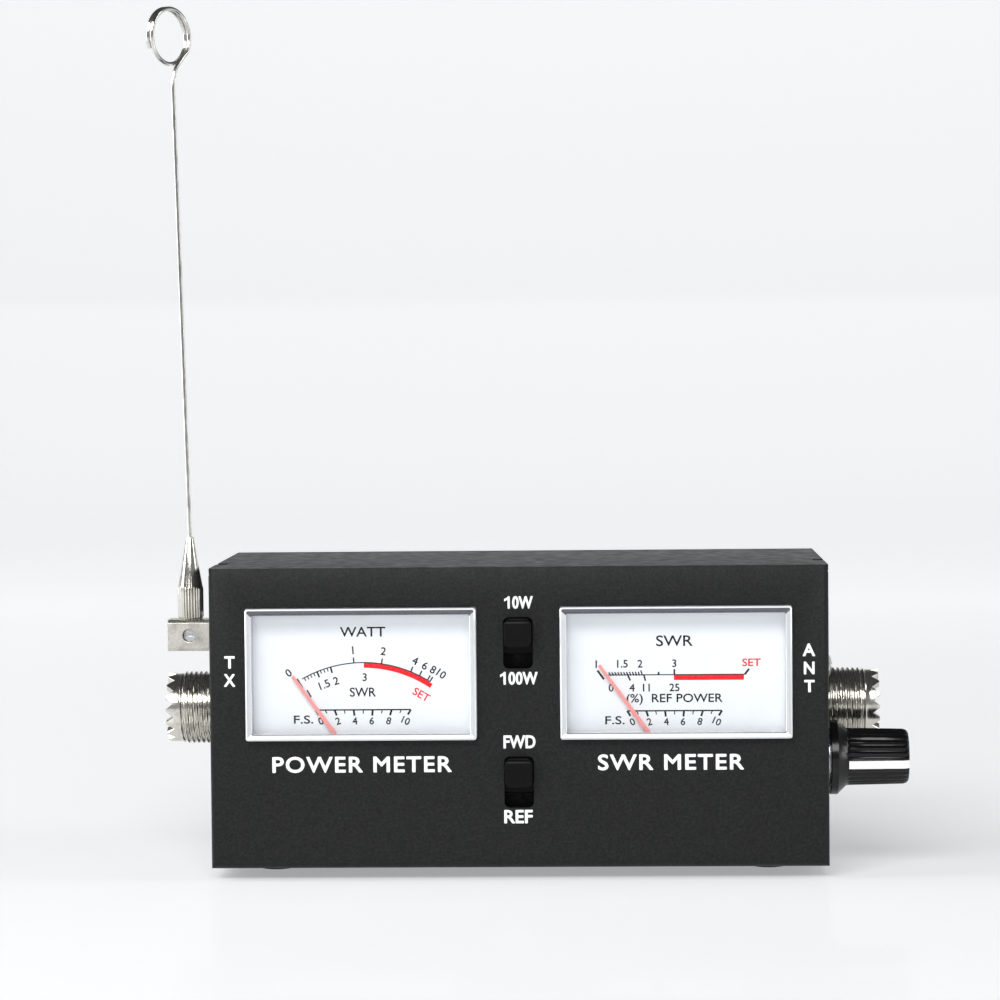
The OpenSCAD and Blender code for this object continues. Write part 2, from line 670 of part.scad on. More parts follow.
module socket_screws() color("#c9cbcd") placed()
    for (s = [-1, 1]) out_of_side(s, socket_y, socket_z) for (x = [-1, 1], y = [-1, 1])
        translate([x, y, 0] * flange_spacing / 2)
            pan_screw(screw_d, screw_head_d, screw_head_h, sheet + flange_t + nut_h + 1);

module socket_nuts() color("#b9bcbf") placed()
    for (s = [-1, 1]) out_of_side(s, socket_y, socket_z) for (x = [-1, 1], y = [-1, 1])
        translate([x, y, 0] * flange_spacing / 2 + [0, 0, -sheet - flange_t - nut_h])
            nut(nut_w, screw_d + 0.04, nut_h - 0.02);

// ---------- Calibration control ----------

// Black knob: a skirt, a cone and a grip that narrows a little towards its end
module cal_knob() color("#161617") placed() out_of_side(1, knob_y, knob_z) difference() {
    rotate_extrude() polygon([[0, skirt_gap], [skirt_d / 2, skirt_gap], [skirt_d / 2, skirt_gap + skirt_l],
        [grip_d / 2, grip_start], [grip_end_d / 2, knob_out - 0.6], [grip_end_d / 2 - 0.6, knob_out],
        [0, knob_out]]);
    cylinder(d = nut_recess_d, h = nut_recess_l);
    cylinder(d = bushing_recess_d, h = bushing_recess_l);
    cylinder(d = shaft_d, h = shaft_out);
    rotate([0, 0, knob_line_side()]) translate([grip_end_d / 2 - line_t, -line_w / 2, grip_start + 0.4])
        cube([3, line_w, knob_out]);
}

// The side of the local frame that the line points to: the front, turned down by its angle
function knob_line_side() = -90 + knob_line_angle;

module cal_knob_line() color("#f4f4f2") placed() out_of_side(1, knob_y, knob_z) intersection() {
    rotate([0, 0, knob_line_side()]) translate([grip_end_d / 2 - line_t, -line_w / 2, grip_start + 0.4])
        cube([3, line_w, knob_out]);
    rotate_extrude() polygon([[0, grip_start], [grip_d / 2, grip_start],
        [grip_end_d / 2, knob_out - 0.6], [grip_end_d / 2 - 0.6, knob_out], [0, knob_out]]);
}

// Rotary control with its threaded bushing
module cal_pot_body() color("#3f4a5a") placed() out_of_side(1, knob_y, knob_z) difference() {
    union() {
        translate([-pot_size[1] / 2, -pot_size[0] / 2, -sheet - pot_size[2]])
            cube([pot_size[1], pot_size[0], pot_size[2] - 0.05]);
        translate([0, 0, -sheet - 0.1]) cylinder(d = bushing_d, h = sheet + 0.1 + bushing_l);
        for (k = [-1, 0, 1]) translate([-pot_size[1] / 2 - 0.2, k * 2.5 - 0.5, -sheet - pot_size[2] - 3])
            cube([0.6, 1, 3.4]);
    }
    translate([0, 0, -sheet - 4.5]) cylinder(d = shaft_d + 2 * slip, h = bushing_l + 10);
}

module cal_pot_shaft() color("#c7c9cb") placed() out_of_side(1, knob_y, knob_z)
    translate([0, 0, -sheet - 4.3]) cylinder(d = shaft_d, h = shaft_out + sheet + 4.3);

module cal_pot_nut() color("#c7c9cb") placed() out_of_side(1, knob_y, knob_z) {
    difference() {
        translate([0, 0, 0.02]) cylinder(d = 11.4, h = 0.5);
        cylinder(d = bushing_d + 0.04, h = 1);
    }
    translate([0, 0, 0.54]) nut(pot_nut_w, bushing_d + 0.04, pot_nut_h);
}

// ---------- Coupler ----------

// Board that hangs between the two sockets' solder cups
module coupler_board() color("#b98b45") placed()
    box([-coupler_half, coupler_y[0], coupler_z - coupler_t], [coupler_half, coupler_y[1], coupler_z]);

// Rod between the two centre contacts
module coupler_main_line() color("#d08a50") placed() {
    reach = half_w - cup_end + 2.5;
    translate([-reach, socket_y, socket_z]) rotate([0, 90, 0]) cylinder(d = line_rod_d, h = 2 * reach);
}

module coupler_pickup_lines() color("#d08a50") placed()
    for (s = [-1, 1]) box([-pickup_half, socket_y + s * pickup_y - 0.6, coupler_z],
        [pickup_half, socket_y + s * pickup_y + 0.6, coupler_z + trace_t]);

// A small part lying along Y on two bent leads
module leaded(d, l, span) {
    lift = d / 2 + 0.6;
    translate([0, 0, coupler_z + lift]) {
        rod_y(d, -l / 2, l / 2);
        rod_y(0.6, -span / 2, span / 2);
    }
    for (s = [-1, 1]) translate([0, s * span / 2, coupler_z]) cylinder(d = 0.6, h = lift + 0.3);
}

// A part's place along X, in steps from the board's middle, on the front or the rear strip
part_step = 12;
front_strip = socket_y - 8;
rear_strip = socket_y + 10;
lead_span = 5.6;

module coupler_diodes() color("#d8622c") placed()
    for (x = [-3.5, -2.5, 2.5, 3.5]) translate([x * part_step, rear_strip, 0]) leaded(1.8, 3.8, lead_span);

module coupler_resistors() color("#cdb68a") placed() {
    for (x = [-3, -1.5, 1.5, 3]) translate([x * part_step, front_strip, 0]) leaded(2.2, 4, lead_span);
    for (x = [-1.2, 1.2]) translate([x * part_step, rear_strip, 0]) leaded(2.2, 4, lead_span);
}

module coupler_capacitors() color("#b5803a") placed()
    for (x = [-2.25, 2.25], y = [rear_strip, front_strip]) translate([x * part_step, y, coupler_z]) {
        translate([-0.9, 0, 4]) rotate([0, 90, 0]) cylinder(d = 5, h = 1.8);
        for (s = [-1, 1]) translate([0, s * 1.5, 0]) cylinder(d = 0.6, h = 3);
    }

module coupler_trimmers() color("#2e6fa8") placed()
    for (x = [-0.5, 0.5]) translate([x * part_step, front_strip, coupler_z]) difference() {
        translate([-3.3, -3.3, 0]) cube([6.6, 6.6, 4.8]);
        translate([0, 0, 4.2]) cylinder(d = 3, h = 1);
        translate([-1.2, -0.25, 3.6]) cube([2.4, 0.5, 2]);
    }

// ---------- Field strength antenna ----------

// Insulating bush with a flange each side of the wall
module antenna_bush() color("#e8e4d8") placed() out_of_side(-1, block_y, block_z) difference() {
    union() {
        translate([0, 0, -sheet - bush_flange_t]) cylinder(d = bush_d, h = sheet + 2 * bush_flange_t);
        translate([0, 0, 0.02]) cylinder(d = bush_flange_d, h = bush_flange_t - 0.02);
        translate([0, 0, -sheet - bush_flange_t]) cylinder(d = bush_flange_d, h = bush_flange_t - 0.02);
    }
    translate([0, 0, -sheet - 2]) cylinder(d = shank_d + 2 * slip, h = sheet + 4);
}

// Nickelled block that turns in the bush, with a bore for the ferrule and a cross hole for its screw
module antenna_block() color("#c4c0b4") placed() out_of_side(-1, block_y, block_z) difference() {
    start = block_out - block_w + 0.02;
    union() {
        intersection() {
            translate([-block_h / 2, -block_h / 2, start]) cube([block_h, block_h, block_out - start]);
            cylinder(d = block_h * 1.28, h = block_out);
        }
        translate([0, 0, -sheet - bush_flange_t - shank_in])
            cylinder(d = shank_d, h = start + sheet + bush_flange_t + shank_in + eps);
    }
    // local X is up: the ferrule's bore from above, and the cross hole through Y
    translate([-shank_below - 0.2, 0, whip_out]) rotate([0, 90, 0])
        cylinder(d = ferrule_shank_d + 2 * slip, h = block_h);
    translate([0, 0, whip_out]) rotate([90, 0, 0])
        cylinder(d = cross_hole_d, h = block_h + 2, center = true);
}

module antenna_nut() color("#b9bcbf") placed() out_of_side(-1, block_y, block_z)
    translate([0, 0, -sheet - bush_flange_t - tag_t - 2 * slip - block_nut_h]) nut(7, shank_d + 0.04, block_nut_h);

// Slotted screw in the front of the cross hole, pressing on the ferrule's shank
module antenna_set_screw() color("#8f8d86") placed()
    translate([-(half_w + whip_out), block_y, block_z]) difference() {
        rod_y(cross_hole_d - 2 * slip, -block_h / 2 + 0.9, -ferrule_shank_d / 2 - 0.02);
        box([-2, -block_h / 2, -0.25], [2, -block_h / 2 + 1.4, 0.25]);
    }

// Ferrule: a shank in the block, a knurled barrel and a long cone
module antenna_ferrule() color("#cbc8bd") placed() translate([whip_x, block_y, 0]) difference() {
    union() {
        translate([0, 0, block_z - shank_below]) cylinder(d = ferrule_shank_d, h = block_h / 2 + shank_below + 1);
        translate([0, 0, ferrule_z + 0.02]) cylinder(d = ferrule_d, h = knurl_h);
        translate([0, 0, ferrule_z + knurl_h]) cylinder(d1 = ferrule_d - 0.1, d2 = cone_top_d, h = cone_h);
    }
    translate([0, 0, ferrule_top - 3]) cylinder(d = whip_d + 2 * slip, h = 4);
}

// Spring steel wire, bent outwards a little above the ferrule and wound into a ring at its tip
foot_point = [whip_x, block_y, ferrule_top - 2.9];
bend_point = [whip_x, block_y, ferrule_top + 0.5];
lean_way = [-sin(whip_lean), 0, cos(whip_lean)];
neck_point = bend_point + whip_l * lean_way;
ring_side = [cos(ring_turn), sin(ring_turn), 0];        // across the ring, away from the wire
ring_axis = [-sin(ring_turn), cos(ring_turn), 0];
ring_middle = neck_point + [-ring_shift, 0, ring_r + 1];
function ring_point(a) = ring_middle + ring_r * (cos(a) * ring_side + sin(a) * [0, 0, 1])
    + (a - 130) / 360 * ring_pitch * ring_axis;
whip_path = concat([foot_point, bend_point, neck_point],
    [for (i = [0 : 15 : 360 * ring_turns - 15]) ring_point(i - 35)]);

module antenna_whip() color("#b7b6b0") placed() wire(whip_path, whip_d, whip_sides);

// ---------- Hook-up wires ----------

hookup_d = 1.1;
hookup_sides = 8;

// From under each meter terminal in a bend up to the underside of the coupler board
module meter_wires() color("#a02020") placed()
    for (s = [-1, 1], t = [-1, 1]) let (x = s * meter_x + t * terminal_x)
        wire(route([x, housing_back + 0.5 + lug_l / 2, pivot_z - terminal_z - lug_t / 2 - eps], [0, 0, -10],
            [x + t * 3, coupler_y[0] + 1.5, coupler_z - coupler_t], [0, 0, 5]), hookup_d, hookup_sides);

// From the control's tags to the board
module pot_wires() color("#2a2a2c") placed()
    for (k = [-1, 0, 1]) wire(route(
        [half_w - sheet - pot_size[2] - 3, knob_y + k * 2.5, knob_z + pot_size[1] / 2 - 0.1], [-4, 0, 0],
        [half_w - 16 + k * 2.5, coupler_y[0] + 1.5, coupler_z - coupler_t], [0, 0, 2.5]), hookup_d, hookup_sides);

// Solder tag between the bush and the nut, and the wire from it down to the board
module antenna_tag_wire() color("#e0b02a") placed() {
    tag_x = -half_w + sheet + bush_flange_t;
    tag_low = block_z - 6;
    difference() {
        union() {
            translate([tag_x + slip, block_y, block_z]) rotate([0, 90, 0]) cylinder(d = 7, h = tag_t);
            box([tag_x + slip, block_y - 1.2, tag_low], [tag_x + slip + tag_t, block_y + 1.2, block_z - 2.5]);
        }
        translate([tag_x - 1, block_y, block_z]) rotate([0, 90, 0]) cylinder(d = shank_d + 4 * slip, h = 3);
    }
    wire(route([tag_x + slip + tag_t / 2, block_y, tag_low - 0.01], [0, 0, -5],
        [tag_x + 8, coupler_y[0] + 1.5, coupler_z + 0.01], [0, 0, -3]), hookup_d, hookup_sides);
}

chassis();
cabinet_cover();
cover_screws();
rubber_feet();
power_case();
power_window();
power_dial();
power_needle();
power_coil();
power_core();
power_yoke();
power_bridges();
power_springs();
power_terminals();
swr_case();
swr_window();
swr_dial();
swr_needle();
swr_coil();
swr_core();
swr_yoke();
swr_bridges();
swr_springs();
swr_terminals();
range_switch_body();
range_switch_lever();
function_switch_body();
function_switch_lever();
switch_terminals();
switch_board();
switch_board_studs();
tx_socket_shell();
tx_socket_insulator();
tx_socket_contact();
ant_socket_shell();
ant_socket_insulator();
ant_socket_contact();
socket_screws();
socket_nuts();
cal_knob();
cal_knob_line();
cal_pot_body();
cal_pot_shaft();
cal_pot_nut();
coupler_board();
coupler_main_line();
coupler_pickup_lines();
coupler_diodes();
coupler_resistors();
coupler_capacitors();
coupler_trimmers();
antenna_bush();
antenna_block();
antenna_nut();
antenna_set_screw();
antenna_ferrule();
antenna_whip();
meter_wires();
pot_wires();
antenna_tag_wire();
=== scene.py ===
# Power, SWR and field strength meter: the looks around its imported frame, in metres.
# X runs to the right, Y from the front panel to the back, Z up from the table.
import json
from math import cos, pi, radians, sin

import bmesh
import bpy
import numpy as np
from mathutils import Matrix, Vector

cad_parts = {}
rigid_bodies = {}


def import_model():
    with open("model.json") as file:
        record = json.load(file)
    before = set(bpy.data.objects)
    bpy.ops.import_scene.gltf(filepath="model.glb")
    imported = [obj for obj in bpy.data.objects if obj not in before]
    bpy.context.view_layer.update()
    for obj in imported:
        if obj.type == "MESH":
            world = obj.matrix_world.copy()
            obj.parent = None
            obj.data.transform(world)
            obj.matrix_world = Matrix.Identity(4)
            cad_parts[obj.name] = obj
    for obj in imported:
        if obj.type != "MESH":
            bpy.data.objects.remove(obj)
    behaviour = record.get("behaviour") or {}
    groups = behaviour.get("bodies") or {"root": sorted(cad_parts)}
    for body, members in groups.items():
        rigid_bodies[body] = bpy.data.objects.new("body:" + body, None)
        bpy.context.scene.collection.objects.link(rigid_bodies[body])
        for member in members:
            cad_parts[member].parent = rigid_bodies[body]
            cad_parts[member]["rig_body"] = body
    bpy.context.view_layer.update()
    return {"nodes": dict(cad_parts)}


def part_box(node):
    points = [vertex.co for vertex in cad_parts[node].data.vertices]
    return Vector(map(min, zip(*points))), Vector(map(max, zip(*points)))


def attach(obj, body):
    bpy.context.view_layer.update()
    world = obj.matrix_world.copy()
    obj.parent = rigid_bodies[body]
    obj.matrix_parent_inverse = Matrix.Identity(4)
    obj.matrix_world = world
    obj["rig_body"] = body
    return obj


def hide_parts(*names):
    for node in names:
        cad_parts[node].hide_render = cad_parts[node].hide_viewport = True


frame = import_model()
nodes = frame["nodes"]
mm = 0.001


# ---------- Cabinet: front, sides and bottom ----------
# One sheet of 1.2 mm steel, folded into a front, a bottom and two sides, and powder coated.
# The coat is a fine satin texture of tiny grains.

def new_material(name, colour, roughness, metallic=0.0):
    """A material and its Principled shader, with the plain values set on the shader's sockets."""
    made = bpy.data.materials.new(name)
    made.use_nodes = True
    shader = made.node_tree.nodes["Principled BSDF"]
    shader.inputs["Base Color"].default_value = (*colour, 1)
    shader.inputs["Roughness"].default_value = roughness
    shader.inputs["Metallic"].default_value = metallic
    return made, shader


def add_node(material, kind, **sockets):
    """A node of that kind; each socket, named with underscores for spaces, gets a value or a link."""
    made = material.node_tree.nodes.new(kind)
    for name, value in sockets.items():
        connect(material, made.inputs[name.replace("_", " ")], value)
    return made


def connect(material, socket, value):
    """Links an output to the socket, or sets its value."""
    if isinstance(value, bpy.types.NodeSocket):
        material.node_tree.links.new(value, socket)
    else:
        socket.default_value = value


def grain(material, size, detail=3.0, stretch=(1, 1, 1)):
    """Noise in the object's own coordinates, with grains of that size in metres, longer along stretch."""
    place = add_node(material, "ShaderNodeTexCoord").outputs["Object"]
    scaled = add_node(material, "ShaderNodeMapping", Vector=place, Scale=[1 / s for s in stretch])
    noise = add_node(material, "ShaderNodeTexNoise", Vector=scaled.outputs[0], Scale=0.6 / size, Detail=detail)
    return noise.outputs["Fac"]


def spread(material, value, low, high, start=0.3, end=0.7):
    """The value's range from start to end, stretched to go from low to high."""
    ranged = add_node(material, "ShaderNodeMapRange", Value=value)
    for name, number in (("From Min", start), ("From Max", end), ("To Min", low), ("To Max", high)):
        ranged.inputs[name].default_value = number
    return ranged.outputs["Result"]


def between(material, share, first, second):
    """A colour that goes from the first to the second as share goes from 0 to 1."""
    ramp = add_node(material, "ShaderNodeValToRGB", Fac=share)
    for stop, colour in zip(ramp.color_ramp.elements, (first, second)):
        stop.color = (*colour, 1)
    return ramp.outputs["Color"]


def roughen(material, shader, height, depth, strength=1.0):
    """Bumps of that depth in metres, from a height of 0 to 1."""
    bump = add_node(material, "ShaderNodeBump", Height=height, Distance=depth, Strength=strength)
    connect(material, shader.inputs["Normal"], bump.outputs["Normal"])


def powder_coat(name, colour, high_spot_colour):
    """Satin powder coat: grains 0.3 mm across over a soft orange peel, with paler high spots."""
    paint, shader = new_material(name, colour, 0.5)
    shader.inputs["Specular IOR Level"].default_value = 0.2
    fine, peel = grain(paint, 0.34 * mm, 4), grain(paint, 1.6 * mm, 2)
    height = add_node(paint, "ShaderNodeMath", Value=fine)
    height.operation = "MULTIPLY_ADD"
    height.inputs[1].default_value = 1.0
    connect(paint, height.inputs[2], peel)
    # paler on the grains' high spots, following the same noise as the bumps
    connect(paint, shader.inputs["Base Color"], between(paint, spread(paint, fine, 0, 1, 0.35, 0.75), colour, high_spot_colour))
    connect(paint, shader.inputs["Roughness"], spread(paint, peel, 0.40, 0.56))
    roughen(paint, shader, height.outputs[0], 0.035 * mm, 0.42)
    return paint


def softened(node, name, edge, finish, segments=2):
    """A copy of a CAD node with its loose triangles merged, its flat faces joined and its edges rounded."""
    mesh = nodes[node].data.copy()
    mesh.name = name
    made = bpy.data.objects.new(name, mesh)
    bpy.context.scene.collection.objects.link(made)
    joined = bmesh.new()
    joined.from_mesh(mesh)
    bmesh.ops.remove_doubles(joined, verts=joined.verts, dist=0.002 * mm)
    bmesh.ops.dissolve_limit(joined, angle_limit=radians(0.5), verts=joined.verts, edges=joined.edges)
    joined.to_mesh(mesh)
    joined.free()
    bevel = made.modifiers.new("rounded edges", "BEVEL")
    bevel.width = edge
    bevel.segments = segments
    bevel.limit_method = "ANGLE"
    bevel.angle_limit = radians(35)
    bevel.harden_normals = False
    mesh.materials.clear()
    mesh.materials.append(finish)
    mesh.shade_smooth()
    mesh.set_sharp_from_angle(angle=radians(32))
    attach(made, nodes[node]["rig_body"])
    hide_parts(node)
    return made


# the second colour is the paler one on the grains' high spots
cabinet_black = powder_coat("cabinet_powder_coat", (0.0065, 0.0068, 0.0072), (0.017, 0.0175, 0.018))
softened("chassis", "folded_chassis", 0.12 * mm, cabinet_black)


# ---------- Cabinet cover, its screws and the feet ----------
# The top and back are a second folded sheet in the same coat, held by four zinc-plated screws
# at the back. Four black rubber feet are glued under the corners.

softened("cabinet_cover", "folded_cover", 0.12 * mm, cabinet_black)


def plated(name, colour, roughness, scratch=0.4 * mm):
    """Plated metal: fine stains in the colour and faint marks that spread the shine."""
    metal, shader = new_material(name, colour, roughness, 1.0)
    stain = grain(metal, 1.3 * mm, 4)
    marks = grain(metal, scratch, 6)
    dark = tuple(0.72 * c for c in colour)
    connect(metal, shader.inputs["Base Color"], between(metal, spread(metal, stain, 0, 1, 0.2, 0.6), dark, colour))
    connect(metal, shader.inputs["Roughness"], spread(metal, marks, 0.6 * roughness, 1.5 * roughness))
    roughen(metal, shader, marks, 0.006 * mm, 0.4)
    return metal


def moulded(name, colour, roughness, fleck=0.5 * mm, shine=0.5):
    """Moulded plastic or rubber: a faint skin texture and slight mottling."""
    plastic, shader = new_material(name, colour, roughness)
    shader.inputs["Specular IOR Level"].default_value = shine
    skin = grain(plastic, fleck, 3)
    paler = tuple(min(1, 1.18 * c + 0.002) for c in colour)
    connect(plastic, shader.inputs["Base Color"], between(plastic, skin, colour, paler))
    connect(plastic, shader.inputs["Roughness"], spread(plastic, skin, 0.85 * roughness, min(1, 1.15 * roughness)))
    roughen(plastic, shader, skin, 0.01 * mm, 0.3)
    return plastic


def dress(finish, *names):
    """Gives CAD nodes that keep their own shape a finish."""
    for name in names:
        mesh = nodes[name].data
        mesh.materials.clear()
        mesh.materials.append(finish)


zinc = plated("zinc_plate", (0.60, 0.61, 0.62), 0.28)
softened("cover_screws", "cover_screw_set", 0.08 * mm, zinc)
foot_rubber = moulded("foot_rubber", (0.018, 0.018, 0.019), 0.8)
softened("rubber_feet", "foot_set", 0.3 * mm, foot_rubber, 3)


# ---------- Panel lettering ----------
# Screen-printed legends in white ink, a few hundredths of a millimetre thick. They name only
# what each meter, switch and socket does.

window = {side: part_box(side + "_window") for side in ("power", "swr")}
panel_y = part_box("chassis")[0].y
middle_x = (window["power"][0].x + window["swr"][1].x) / 2
foot_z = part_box("rubber_feet")[0].z


def solid(name, pieces, finish, body, replaces=()):
    """One object from several closed meshes, each a pair of a vertex array and a list of faces."""
    points, faces, first = [], [], 0
    for part_points, part_faces in pieces:
        points.append(np.asarray(part_points, float).reshape(-1, 3))
        faces.extend([[first + i for i in face] for face in part_faces])
        first += len(points[-1])
    mesh = bpy.data.meshes.new(name)
    mesh.from_pydata(np.concatenate(points), [], faces)
    mesh.validate()
    mesh.materials.append(finish)
    made = bpy.data.objects.new(name, mesh)
    bpy.context.scene.collection.objects.link(made)
    mesh.shade_smooth()
    mesh.set_sharp_from_angle(angle=radians(35))
    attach(made, body)
    if replaces:
        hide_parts(*replaces)
    return made


def letters(text, middle, size, face_y, thick, bold=0.0, turn=0.0, spacing=1.0):
    """A word as a thin solid on a face that looks towards -Y: its middle (x, z), its (width, height) and its turn.
    A size may leave its width out, and the word then keeps the type's own proportions. Bold strokes
    come from copies of the word around its middle, each by a hair deeper than the last."""
    curve = bpy.data.curves.new(text, "FONT")
    curve.body = text
    curve.extrude = 0.5
    curve.space_character = spacing
    curve.resolution_u = 4
    typed = bpy.data.objects.new(text, curve)
    bpy.context.scene.collection.objects.link(typed)
    bpy.context.view_layer.update()
    shape = bpy.data.meshes.new_from_object(typed.evaluated_get(bpy.context.evaluated_depsgraph_get()))
    flat = np.array([v.co for v in shape.vertices])
    faces = [list(p.vertices) for p in shape.polygons]
    bpy.data.objects.remove(typed)
    bpy.data.curves.remove(curve)
    bpy.data.meshes.remove(shape)
    low, high = flat.min(0), flat.max(0)
    flat = (flat - (low + high) / 2) / (high - low)
    tall = size[-1] - 2 * bold
    wide = size[0] - 2 * bold if len(size) == 2 else tall * (high - low)[0] / (high - low)[1]
    copies, copy_faces = [], []
    for i in range(8 if bold else 1):
        across, up = flat[:, 0] * wide + bold * cos(i * pi / 4), flat[:, 1] * tall + bold * sin(i * pi / 4)
        x = middle[0] + across * cos(turn) - up * sin(turn)
        z = middle[1] + across * sin(turn) + up * cos(turn)
        copy_faces += [[len(flat) * i + corner for corner in face] for face in faces]
        copies.append(np.column_stack([x, face_y - (flat[:, 2] + 0.5) * thick * (1 - 0.02 * i), z]))
    return np.concatenate(copies), copy_faces


ink_t = 0.03 * mm
legend_bold = 0.11 * mm
legends = (
    ("10W", (0.2, 58.53), (6.0, 2.7), 1.06), ("100W", (0.15, 42.6), (7.9, 2.75), 1.06),
    ("FWD", (0.15, 29.2), (6.75, 2.8), 1.0), ("REF", (-0.2, 13.45), (6.0, 2.85), 1.0),
    ("POWER METER", (-33.0, 24.6), (37.8, 3.45), 1.12), ("SWR METER", (31.85, 24.8), (30.6, 3.4), 1.12),
    ("T", (-60.65, 46.3), (2.25, 2.65), 1.0), ("X", (-60.7, 42.5), (2.4, 2.7), 1.0),
    ("A", (60.8, 48.2), (2.6, 2.7), 1.0), ("N", (60.85, 44.4), (2.25, 2.7), 1.0), ("T", (60.88, 40.6), (2.2, 2.6), 1.0),
)
one_flag, flag_drop = 0.7 * mm, 0.62 * mm


def legend(word, x, z, wide, tall, between_letters):
    """A legend around (x, z). A first figure 1 gets a slanted flag, and the type then takes the width that is left."""
    x, z = middle_x + x, foot_z + z
    if not word.startswith("1"):
        return [letters(word, (x, z), (wide, tall), panel_y, ink_t, legend_bold, spacing=between_letters)]
    upright, top = x - wide / 2 + one_flag, z + tall / 2
    outline = [(upright + 0.4 * mm, top), (upright - one_flag, top - flag_drop),
               (upright - one_flag, top - 1.15 * mm), (upright + 0.1 * mm, top - 0.72 * mm)]
    flag = np.array([(a, y, b) for y in (panel_y - ink_t, panel_y) for a, b in outline])
    sides = [[0, 1, 2, 3], [7, 6, 5, 4], [1, 0, 4, 5], [2, 1, 5, 6], [3, 2, 6, 7], [0, 3, 7, 4]]
    return [(flag, sides), letters(word, (x + one_flag / 2, z), (wide - one_flag, tall), panel_y, ink_t, legend_bold,
                                   spacing=between_letters)]


white_ink = moulded("white_ink", (0.86, 0.87, 0.88), 0.5, 0.3 * mm)
solid("panel_legends",
      [piece for word, (x, z), (w, h), between_letters in legends
       for piece in legend(word, x * mm, z * mm, w * mm, h * mm, between_letters)],
      white_ink, "cabinet")


# ---------- Meter cases and movements ----------
# Black moulded trays hold the dials. Behind them each moving coil turns around a magnet core
# inside a soft iron ring, between two brass bridges, with bronze hairsprings.

case_black = moulded("case_moulding", (0.016, 0.016, 0.018), 0.45)
magnet_grey = plated("sintered_magnet", (0.22, 0.22, 0.23), 0.55)
iron = plated("soft_iron", (0.42, 0.43, 0.44), 0.4)
brass = plated("stamped_brass", (0.70, 0.52, 0.22), 0.28)
bronze = plated("spring_bronze", (0.72, 0.50, 0.24), 0.24)
tin = plated("bright_tin", (0.70, 0.71, 0.72), 0.25)


def wound(name):
    """Enamelled copper wire: fine turns side by side as stripes, in a coil that lies across the frame.
    The stripes are painted shade in the grooves between turns and painted highlight on their crests.
    """
    copper, shader = new_material(name, (0.62, 0.26, 0.12), 0.3, 1.0)
    place = add_node(copper, "ShaderNodeTexCoord").outputs["Object"]
    turns = add_node(copper, "ShaderNodeTexWave", Vector=place, Scale=1800.0, Distortion=0.6)
    turns.bands_direction = "Y"
    # darker between the turns as painted shade and paler on their crests as painted highlight, from the same waves as
    # the bumps
    connect(copper, shader.inputs["Base Color"],
            between(copper, turns.outputs["Fac"], (0.34, 0.11, 0.04), (0.72, 0.32, 0.16)))
    roughen(copper, shader, turns.outputs["Fac"], 0.03 * mm)
    return copper


coil_copper = wound("enamelled_copper")
for side in ("power", "swr"):
    dress(case_black, side + "_case")
    dress(magnet_grey, side + "_core")
    dress(iron, side + "_yoke")
    dress(brass, side + "_bridges")
    dress(bronze, side + "_springs")
    dress(tin, side + "_terminals")
    dress(coil_copper, side + "_coil")


# ---------- Clear covers ----------
# Each meter has a cover moulded in clear acrylic: a thin face with a bevelled, polished rim, and
# a wall on each side that goes on to the dial. The needle comes up behind its open lower side.
# Its rim and walls are given a part-opaque milky white as painted light, the bevel most of all, and
# the rim's top a dark navy as a painted reflection of the dark tray.

def grid_faces(rows, columns, closed):
    """Four-cornered faces between the points of a grid; closed joins the last column to the first."""
    r, c = np.meshgrid(np.arange(rows - 1), np.arange(columns if closed else columns - 1), indexing="ij")
    right = (c + 1) % columns
    corners = [r * columns + c, r * columns + right, (r + 1) * columns + right, (r + 1) * columns + c]
    return np.stack(corners, -1).reshape(-1, 4).tolist()


def capped(grid):
    """A tube from a grid of rings, one ring to a row, with a flat cap at each end."""
    rows, columns = grid.shape[:2]
    faces = grid_faces(rows, columns, True)
    faces.append(list(range(columns))[::-1])
    faces.append([(rows - 1) * columns + i for i in range(columns)])
    return grid.reshape(-1, 3), faces


def rounded_rectangle(low, high, radius, steps=5):
    """Points around a rectangle in X and Z, clockwise seen from the front, with round corners."""
    angle = np.linspace(0, pi / 2, steps)
    points = []
    for sx, sz, start in ((1, 1, 0), (-1, 1, pi / 2), (-1, -1, pi), (1, -1, 1.5 * pi)):
        middle = ((high[0] if sx > 0 else low[0]) - sx * radius, (high[1] if sz > 0 else low[1]) - sz * radius)
        points.append(np.column_stack([middle[0] + radius * np.cos(angle + start),
                                       middle[1] + radius * np.sin(angle + start)]))
    return np.concatenate(points)[::-1]


def clear_acrylic(name, colour, alpha, roughness):
    """Clear moulding that lets the view through and keeps a polished shine, with faint flow marks."""
    acrylic, shader = new_material(name, colour, roughness)
    shader.inputs["Alpha"].default_value = alpha
    shader.inputs["IOR"].default_value = 1.49
    shader.inputs["Coat Weight"].default_value = 0.6
    shader.inputs["Coat Roughness"].default_value = 0.03
    roughen(acrylic, shader, grain(acrylic, 6 * mm, 1), 0.02 * mm, 0.3)
    acrylic.surface_render_method = "BLENDED"
    return acrylic


cover_wall = 1.2 * mm
rim_bevel = 0.35 * mm
rim_step = 0.12 * mm
wall_foot = 1.4 * mm
sheet_t = 1.2 * mm
face_clear = clear_acrylic("acrylic_face", (0.95, 0.97, 1.0), 0.012, 0.04)
# the part-opaque whitish finishes of the rim, bevel and walls are painted light; the dark navy one is a painted
# reflection of the tray
rim_clear = clear_acrylic("acrylic_rim", (0.88, 0.91, 0.95), 0.45, 0.06)
painted_light_edge = clear_acrylic("acrylic_painted_light_edge", (0.93, 0.94, 0.96), 0.85, 0.10)
dark_reflection_rim = clear_acrylic("acrylic_painted_dark_reflection", (0.012, 0.016, 0.035), 0.80, 0.06)
on_face, on_rim, on_painted_light, on_dark_reflection = range(4)


